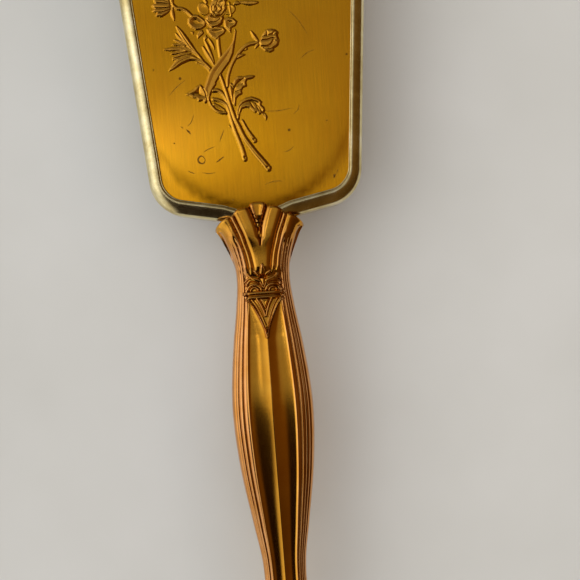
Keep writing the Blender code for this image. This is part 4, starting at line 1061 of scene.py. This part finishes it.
def shell_relief(r, x, s, w):
    """Height of the stamped work over the plain shell, for the whole length of the handle."""
    ax = np.abs(x)
    r = np.abs(r)
    reed_fade = ease((s - 6.0) / 4) * (1 - ease((s - 129) / 4))
    reeds = reed_relief(r, s, w) * reed_fade
    palmette = palmette_relief(ax, s, w)
    first = np.where(s < 20, REED_LINES[1], REED_LINES[0])
    relief = np.where(r > first, reeds, 0.0)
    away = 1 - ease((s - 15.5) / 2.5)
    relief += palmette * np.where(r > first, 1 - reed_fade, away)
    # sunk ground of the neck, between the palmette and the hanging points
    ridge = REED_LINES[0] * w
    ground = ease((s - 16.5) / 2) * (1 - ease((s - 25.0) / 0.4)) * (1 - ease((ax - 5.2) / 0.7))
    relief -= 0.32 * ground
    # flutes on both sides of the middle ridge, and of the hanging point that runs out into it
    point = np.interp(s, *np.array(POINT_EDGE).T)
    point = np.where(s < 24.0, 20.0, point)
    f = np.clip((ax - point) / np.maximum(ridge - point, 0.01), 0, 1)
    wide = np.clip((ridge - point) / 5.4, 0, 1)
    run_out = 1 - ease((s - 121) / 6)
    flute = FLUTE_DEPTH * 4 * f * (1 - f) * (0.85 + 0.3 * f) * wide ** 0.7 * run_out
    relief -= np.where((ax > point) & (ax < ridge), flute, 0.0)
    relief -= np.where((s > 25.2) & (ax < point - 0.15), 0.2, 0.0)
    # a crisp crest along the ridge beside the flutes
    relief += 0.18 * np.exp(-((ax - ridge) / 0.28) ** 2) * ease((s - 27) / 5) * run_out
    near = (s > 14) & (s < 38) & (ax < 7)
    ornament = np.zeros_like(relief)
    ornament[near] = neck_ornament(x[near], s[near])
    return relief + ornament


def shell_angles(columns):
    """Angles round half the section, evenly spaced along a typical section."""
    angle = np.linspace(0, math.pi / 2, 400)
    x = 11.0 * np.sin(angle) ** (2 / 3)
    z = 6.6 * np.cos(angle) ** (2 / 3)
    length = np.concatenate([[0], np.cumsum(np.hypot(np.diff(x), np.diff(z)))])
    return np.interp(np.linspace(0, length[-1], columns), length, angle)


def shell_stations():
    """Distances along the handle: close-set over the struck work and round the end."""
    fine = np.arange(TIPS, 38.0, 0.12)
    middle = np.arange(38.0, HANDLE_LENGTH - END_ROUND, 0.85)
    turn = np.radians(np.linspace(0, 90, 22))
    end = HANDLE_LENGTH - END_ROUND * (1 - np.sin(turn))
    return np.concatenate([fine, middle, end])


def folded(grid, axis, move):
    """The grid with one more line of points at each end of an axis, moved inwards."""
    first, last = grid.take([0], axis), grid.take([-1], axis)
    return np.concatenate([first + move[0], grid, last + move[1]], axis)


def make_shell(name, side, material):
    """One stamping; side is +1 for the one on the back and -1 for the one on the bristle side."""
    angle = shell_angles(COLUMNS)
    angle = np.concatenate([-angle[:0:-1], angle])
    station = shell_stations()[:, None]
    squareness = 3.0 + 1.2 * (1 - ease((station - 6) / 14))
    r = np.sign(angle) * np.sin(np.abs(angle)) ** (2 / squareness)
    up = np.cos(angle).clip(0, 1) ** (2 / squareness)
    w = half_width(station)
    h = half_height(station)
    x = r * w
    lap = TIPS + 0.2 - np.interp(np.abs(x), *np.array(PALMETTE_EDGE).T)
    lap = np.where(up < 0.3, np.minimum(lap, 0.2), lap)
    behind = station - TIPS
    s = station - lap * np.clip(1 - behind / 12.0, 0, 1)
    relief = shell_relief(r, x, s, w) * np.clip((up - 0.03) / 0.12, 0, 1) * end_share(station) ** 0.5
    # the stamped edge is turned down round the palmette
    turned = 0.8 * (1 - np.sqrt(np.clip(1 - (1 - np.clip(behind / 0.55, 0, 1)) ** 2, 0, 1)))
    turned = turned * np.clip(up / 0.3, 0, 1)
    nx = np.sign(r) * np.abs(r) ** (squareness - 1) / np.maximum(w, 0.5)
    nz = up ** (squareness - 1) / np.maximum(h, 0.5)
    size = np.hypot(nx, nz) + 1e-9
    px = x + relief * nx / size
    pz = SEAM + h * up + relief * nz / size - turned
    smoothed = relief.copy()
    for _ in range(14):
        smoothed[1:-1, 1:-1] = (smoothed[:-2, 1:-1] + smoothed[2:, 1:-1] + smoothed[1:-1, :-2]
                                + smoothed[1:-1, 2:] + 2 * smoothed[1:-1, 1:-1]) / 6
    proud = relief - smoothed
    worn = ease((np.abs(r) - REED_LINES[0] + 0.06) / 0.12) * ease((s - 2) / 10) + 4 * proud
    grid = np.stack([px, JOINT_Y - s + 0 * px, SPLIT + side * pz, proud, np.clip(worn, 0, 1)], axis=-1)
    # the sheet's thickness shows where its edges are folded in, at the seam and the palmette
    grid = folded(grid, 1, ([SHELL_SHEET, 0, 0, 0, 0], [-SHELL_SHEET, 0, 0, 0, 0]))
    grid = folded(grid, 0, ([0, -0.05, -side * SHELL_SHEET, 0, 0], [0, 0, 0, 0, 0]))
    # the open end is closed round the tang by a flat turned-in web
    lining, web = grid[:1].copy(), grid[:1].copy()
    lining[..., 1] = web[..., 1] = JOINT_Y - TIPS - 0.4
    web[..., 0] *= 0.4
    web[..., 2] = SPLIT + 0.4 * (web[..., 2] - SPLIT)
    grid = np.concatenate([web, lining, grid])
    rows, columns = grid.shape[:2]
    index = np.arange(rows * columns).reshape(rows, columns)
    corners = [index[:-1, :-1], index[:-1, 1:], index[1:, 1:], index[1:, :-1]]
    if side > 0:
        corners = corners[::-1]
    faces = np.stack(corners, axis=-1).reshape(-1, 4).tolist()
    grid = grid.reshape(-1, 5)
    piece = mesh_piece(name, grid[:, :3] * MM, faces, material)
    piece.data.set_sharp_from_angle(angle=math.radians(60))
    store(piece.data, "proud", grid[:, 3])
    store(piece.data, "worn", grid[:, 4])
    return piece


def copper_gilt():
    """Copper-red gilt, worn towards bare copper on the high work and the reeds, with painted shade
    browning the grooves and hollows; small pits give it a grainy lustre."""
    material, tree, shader = new_finish("stamped_copper_gilt", Metallic=1.0)
    place = add_node(tree, "TexCoord", {}, {}).outputs["Object"]
    cloud = add_node(tree, "TexNoise", {}, {
        "Vector": place, "Scale": 1 / (6 * MM), "Detail": 6.0, "Roughness": 0.6})
    gilt = add_node(tree, "ValToRGB", {}, {"Fac": cloud.outputs["Fac"]}, [
        (0.3, paint("#D0902A")), (0.7, paint("#DCA038"))])
    copper = add_node(tree, "ValToRGB", {}, {"Fac": cloud.outputs["Fac"]}, [
        (0.3, paint("#D08E48")), (0.7, paint("#E0A46A"))])
    worn = add_node(tree, "Attribute", {"attribute_name": "worn"}, {})
    tone = add_node(tree, "Mix", {"data_type": "RGBA"}, {
        0: worn.outputs["Fac"], 6: gilt.outputs[0], 7: copper.outputs[0]})
    proud = add_node(tree, "Attribute", {"attribute_name": "proud"}, {})
    # painted shade: darker brown in the hollows below the smoothed surface
    depth = add_node(tree, "MapRange", {}, {
        "Value": proud.outputs["Fac"], "From Min": -0.2, "From Max": -0.02})
    groove_shade = add_node(tree, "ValToRGB", {}, {"Fac": depth.outputs[0]}, [
        (0.0, paint("#74441A")), (1.0, (1.0, 1.0, 1.0, 1.0))])
    # the painted shade in the grooves is multiplied into the gilt
    groove_shaded = add_node(tree, "Mix", {"data_type": "RGBA", "blend_type": "MULTIPLY"}, {
        0: 0.7, 6: tone.outputs[2], 7: groove_shade.outputs[0]})
    grit = add_node(tree, "TexNoise", {}, {
        "Vector": place, "Scale": 1 / (0.45 * MM), "Detail": 5.0, "Roughness": 0.7})
    rough = add_node(tree, "MapRange", {}, {
        "Value": grit.outputs["Fac"], "To Min": 0.05, "To Max": 0.2})
    bump = add_node(tree, "Bump", {}, {
        "Height": grit.outputs["Fac"], "Strength": 0.16, "Distance": 0.04 * MM})
    tree.links.new(groove_shaded.outputs[2], shader["Base Color"])
    tree.links.new(rough.outputs[0], shader["Roughness"])
    tree.links.new(bump.outputs[0], shader["Normal"])
    return material


gilt_handle = copper_gilt()
for name, side in (("handle_front_shell", 1), ("handle_back_shell", -1)):
    shell = make_shell("stamped_" + name, side, gilt_handle)
    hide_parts(name)

# ---------------------------------------------------------------------------------------------
# Floor, light and camera
# A plain pale table top under a soft white ceiling light, with a window on the left and a warm
# wall on the right.  The gilding mirrors a dim room that is brown to the right and beyond.
# ---------------------------------------------------------------------------------------------


def pale_top():
    """Painted board: nearly matt, in an even warm grey with the faintest clouds."""
    material, tree, shader = new_finish("pale_painted_top", Roughness=0.7)
    place = add_node(tree, "TexCoord", {}, {}).outputs["Object"]
    cloud = add_node(tree, "TexNoise", {}, {"Vector": place, "Scale": 1 / (60 * MM), "Detail": 3.0})
    tone = add_node(tree, "ValToRGB", {}, {"Fac": cloud.outputs["Fac"]},
                    [(0.3, paint("#CCCCC6")), (0.7, paint("#D3D3CE"))])
    tree.links.new(tone.outputs[0], shader["Base Color"])
    return material


FLOOR = 1.5                       # half its side, in metres
FLOOR_GAP = 0.0002                # keeps it just clear of the bristles
floor_data = bpy.data.meshes.new("table_top")
floor_data.from_pydata([(-FLOOR, -FLOOR, 0), (FLOOR, -FLOOR, 0), (FLOOR, FLOOR, 0),
                        (-FLOOR, FLOOR, 0)], [], [(0, 1, 2, 3)])
floor_data.materials.append(pale_top())
floor = bpy.data.objects.new("table_top", floor_data)
floor.location.z = -FLOOR_GAP
bpy.context.scene.collection.objects.link(floor)

WINDOW_POWER = 0.7                # of each light, in watts
CEILING_POWER = 16.5
WALL_POWER = 6.5
GAP_GLOW = 4.0                    # of the gap between the curtains, times the room's own light


def add_panel_light(name, place, target, size, power, color):
    """A soft square light that is not itself mirrored in the metal."""
    light = bpy.data.lights.new(name, "AREA")
    light.shape = "RECTANGLE"
    light.size = size
    light.size_y = size
    light.energy = power
    light.color = paint(color)[:3]
    lamp = bpy.data.objects.new(name, light)
    lamp.location = place
    direction = Vector(target) - Vector(place)
    lamp.rotation_euler = direction.to_track_quat("-Z", "Y").to_euler()
    lamp.visible_glossy = False
    bpy.context.scene.collection.objects.link(lamp)


add_panel_light("window", (-0.5, -0.25, 0.75), (0.0, 0.0, 0.02), 0.8, WINDOW_POWER, "#F6FAFF")
add_panel_light("ceiling", (-0.1, 0.1, 1.0), (0.0, 0.0, 0.0), 2.6, CEILING_POWER, "#F4F7FF")
add_panel_light("side_wall", (1.4, 0.0, 0.7), (0.0, 0.0, 0.0), 1.6, WALL_POWER, "#FFE4BC")


def dim_room():
    """Room light for reflections: pale walls and a window on the left, a brown dark room to the
    right and beyond the handle's end, and a bright gap between curtains high on the left."""
    world = bpy.data.worlds.new("dim_room")
    world.use_nodes = True
    tree = world.node_tree
    place = add_node(tree, "TexCoord", {}, {}).outputs["Generated"]
    axes = add_node(tree, "SeparateXYZ", {}, {"Vector": place}).outputs
    across = add_node(tree, "MapRange", {}, {"Value": axes["X"], "From Min": -1.0, "From Max": 1.0})
    pale = add_node(tree, "ValToRGB", {}, {"Fac": across.outputs[0]}, [
        (0.0, (0.9, 0.88, 0.85, 1)), (0.12, (1.65, 1.62, 1.55, 1)), (0.26, (1.15, 1.1, 1.03, 1)),
        (0.35, (0.58, 0.56, 0.53, 1)), (0.45, (0.4, 0.38, 0.35, 1)), (0.6, (0.5, 0.48, 0.45, 1))])
    brown = add_node(tree, "ValToRGB", {}, {"Fac": across.outputs[0]}, [
        (0.22, (0.1, 0.05, 0.012, 1)), (0.33, (0.022, 0.01, 0.003, 1)),
        (0.51, (0.022, 0.01, 0.003, 1)), (0.57, (0.19, 0.1, 0.025, 1)), (1.0, (0.1, 0.05, 0.01, 1))])
    # the brown part: all of the right side, and beyond a slanting edge on the left
    right = add_node(tree, "MapRange", {"interpolation_type": "SMOOTHSTEP"}, {
        "Value": axes["X"], "From Min": 0.12, "From Max": 0.26})
    edge = add_node(tree, "MapRange", {}, {
        "Value": axes["Y"], "From Min": -0.1, "From Max": -0.02, "To Min": -0.44, "To Max": 0.12})
    past = add_node(tree, "Math", {"operation": "SUBTRACT"}, {0: axes["X"], 1: edge.outputs[0]})
    beyond = add_node(tree, "MapRange", {"interpolation_type": "SMOOTHSTEP"}, {
        "Value": past.outputs[0], "From Min": -0.07, "From Max": 0.07})
    depth = add_node(tree, "MapRange", {}, {
        "Value": axes["Y"], "From Min": -0.075, "From Max": -0.04, "To Min": 1.0, "To Max": 0.4})
    corner = add_node(tree, "Math", {"operation": "MULTIPLY"}, {
        0: beyond.outputs[0], 1: depth.outputs[0]})
    dark = add_node(tree, "Math", {"operation": "MAXIMUM"}, {
        0: right.outputs[0], 1: corner.outputs[0]})
    sides = add_node(tree, "Mix", {"data_type": "RGBA"}, {
        0: dark.outputs[0], 6: pale.outputs[0], 7: brown.outputs[0]})
    # the bright gap, and the light falling off towards both ends of the brush
    gap_place = add_node(tree, "Mapping", {"vector_type": "TEXTURE"}, {
        "Vector": place, "Location": (-0.16, 0.05, 0.98), "Rotation": (0.0, 0.0, 0.42),
        "Scale": (0.12, 0.04, 0.6)})
    gap_far = add_node(tree, "VectorMath", {"operation": "LENGTH"}, {0: gap_place.outputs[0]})
    gap = add_node(tree, "MapRange", {"interpolation_type": "SMOOTHSTEP"}, {
        "Value": gap_far.outputs["Value"], "From Min": 0.5, "From Max": 1.3,
        "To Min": GAP_GLOW, "To Max": 1.0})
    far_side = add_node(tree, "MapRange", {"interpolation_type": "SMOOTHSTEP"}, {
        "Value": axes["Y"], "From Min": 0.12, "From Max": 0.45, "To Min": 1.0, "To Max": 0.5})
    near_side = add_node(tree, "MapRange", {"interpolation_type": "SMOOTHSTEP"}, {
        "Value": axes["Y"], "From Min": -0.3, "From Max": -0.05, "To Min": 0.6, "To Max": 1.0})
    strength = add_node(tree, "Math", {"operation": "MULTIPLY"}, {
        0: gap.outputs[0], 1: far_side.outputs[0]})
    strength = add_node(tree, "Math", {"operation": "MULTIPLY"}, {
        0: strength.outputs[0], 1: near_side.outputs[0]})
    background = tree.nodes["Background"]
    tree.links.new(sides.outputs[2], background.inputs["Color"])
    tree.links.new(strength.outputs[0], background.inputs["Strength"])
    return world


bpy.context.scene.world = dim_room()

# The camera looks straight down from above the handle, a little turned
FIELD = 0.1717                    # width of the view at the panel's level, in metres
DISTANCE = 0.45
ROLL = math.radians(4.3)
ASIDE = 7.7                       # to the right of the brush's middle line
BEHIND = 23.1                     # from the joint line towards the handle's tip
eye = Vector((ASIDE * MM, (JOINT_Y - BEHIND) * MM, PANEL_TOP * MM + DISTANCE))
camera_data = bpy.data.cameras.new("camera")
camera_data.sensor_fit = "HORIZONTAL"
camera_data.angle = 2 * math.atan(FIELD / 2 / DISTANCE)
camera_data.clip_start = 0.01
camera = bpy.data.objects.new("camera", camera_data)
camera.matrix_world = Matrix.Translation(eye) @ Matrix.Rotation(-ROLL, 4, "Z")
bpy.context.scene.collection.objects.link(camera)
bpy.context.scene.camera = camera
bpy.context.scene.view_settings.view_transform = "Standard"
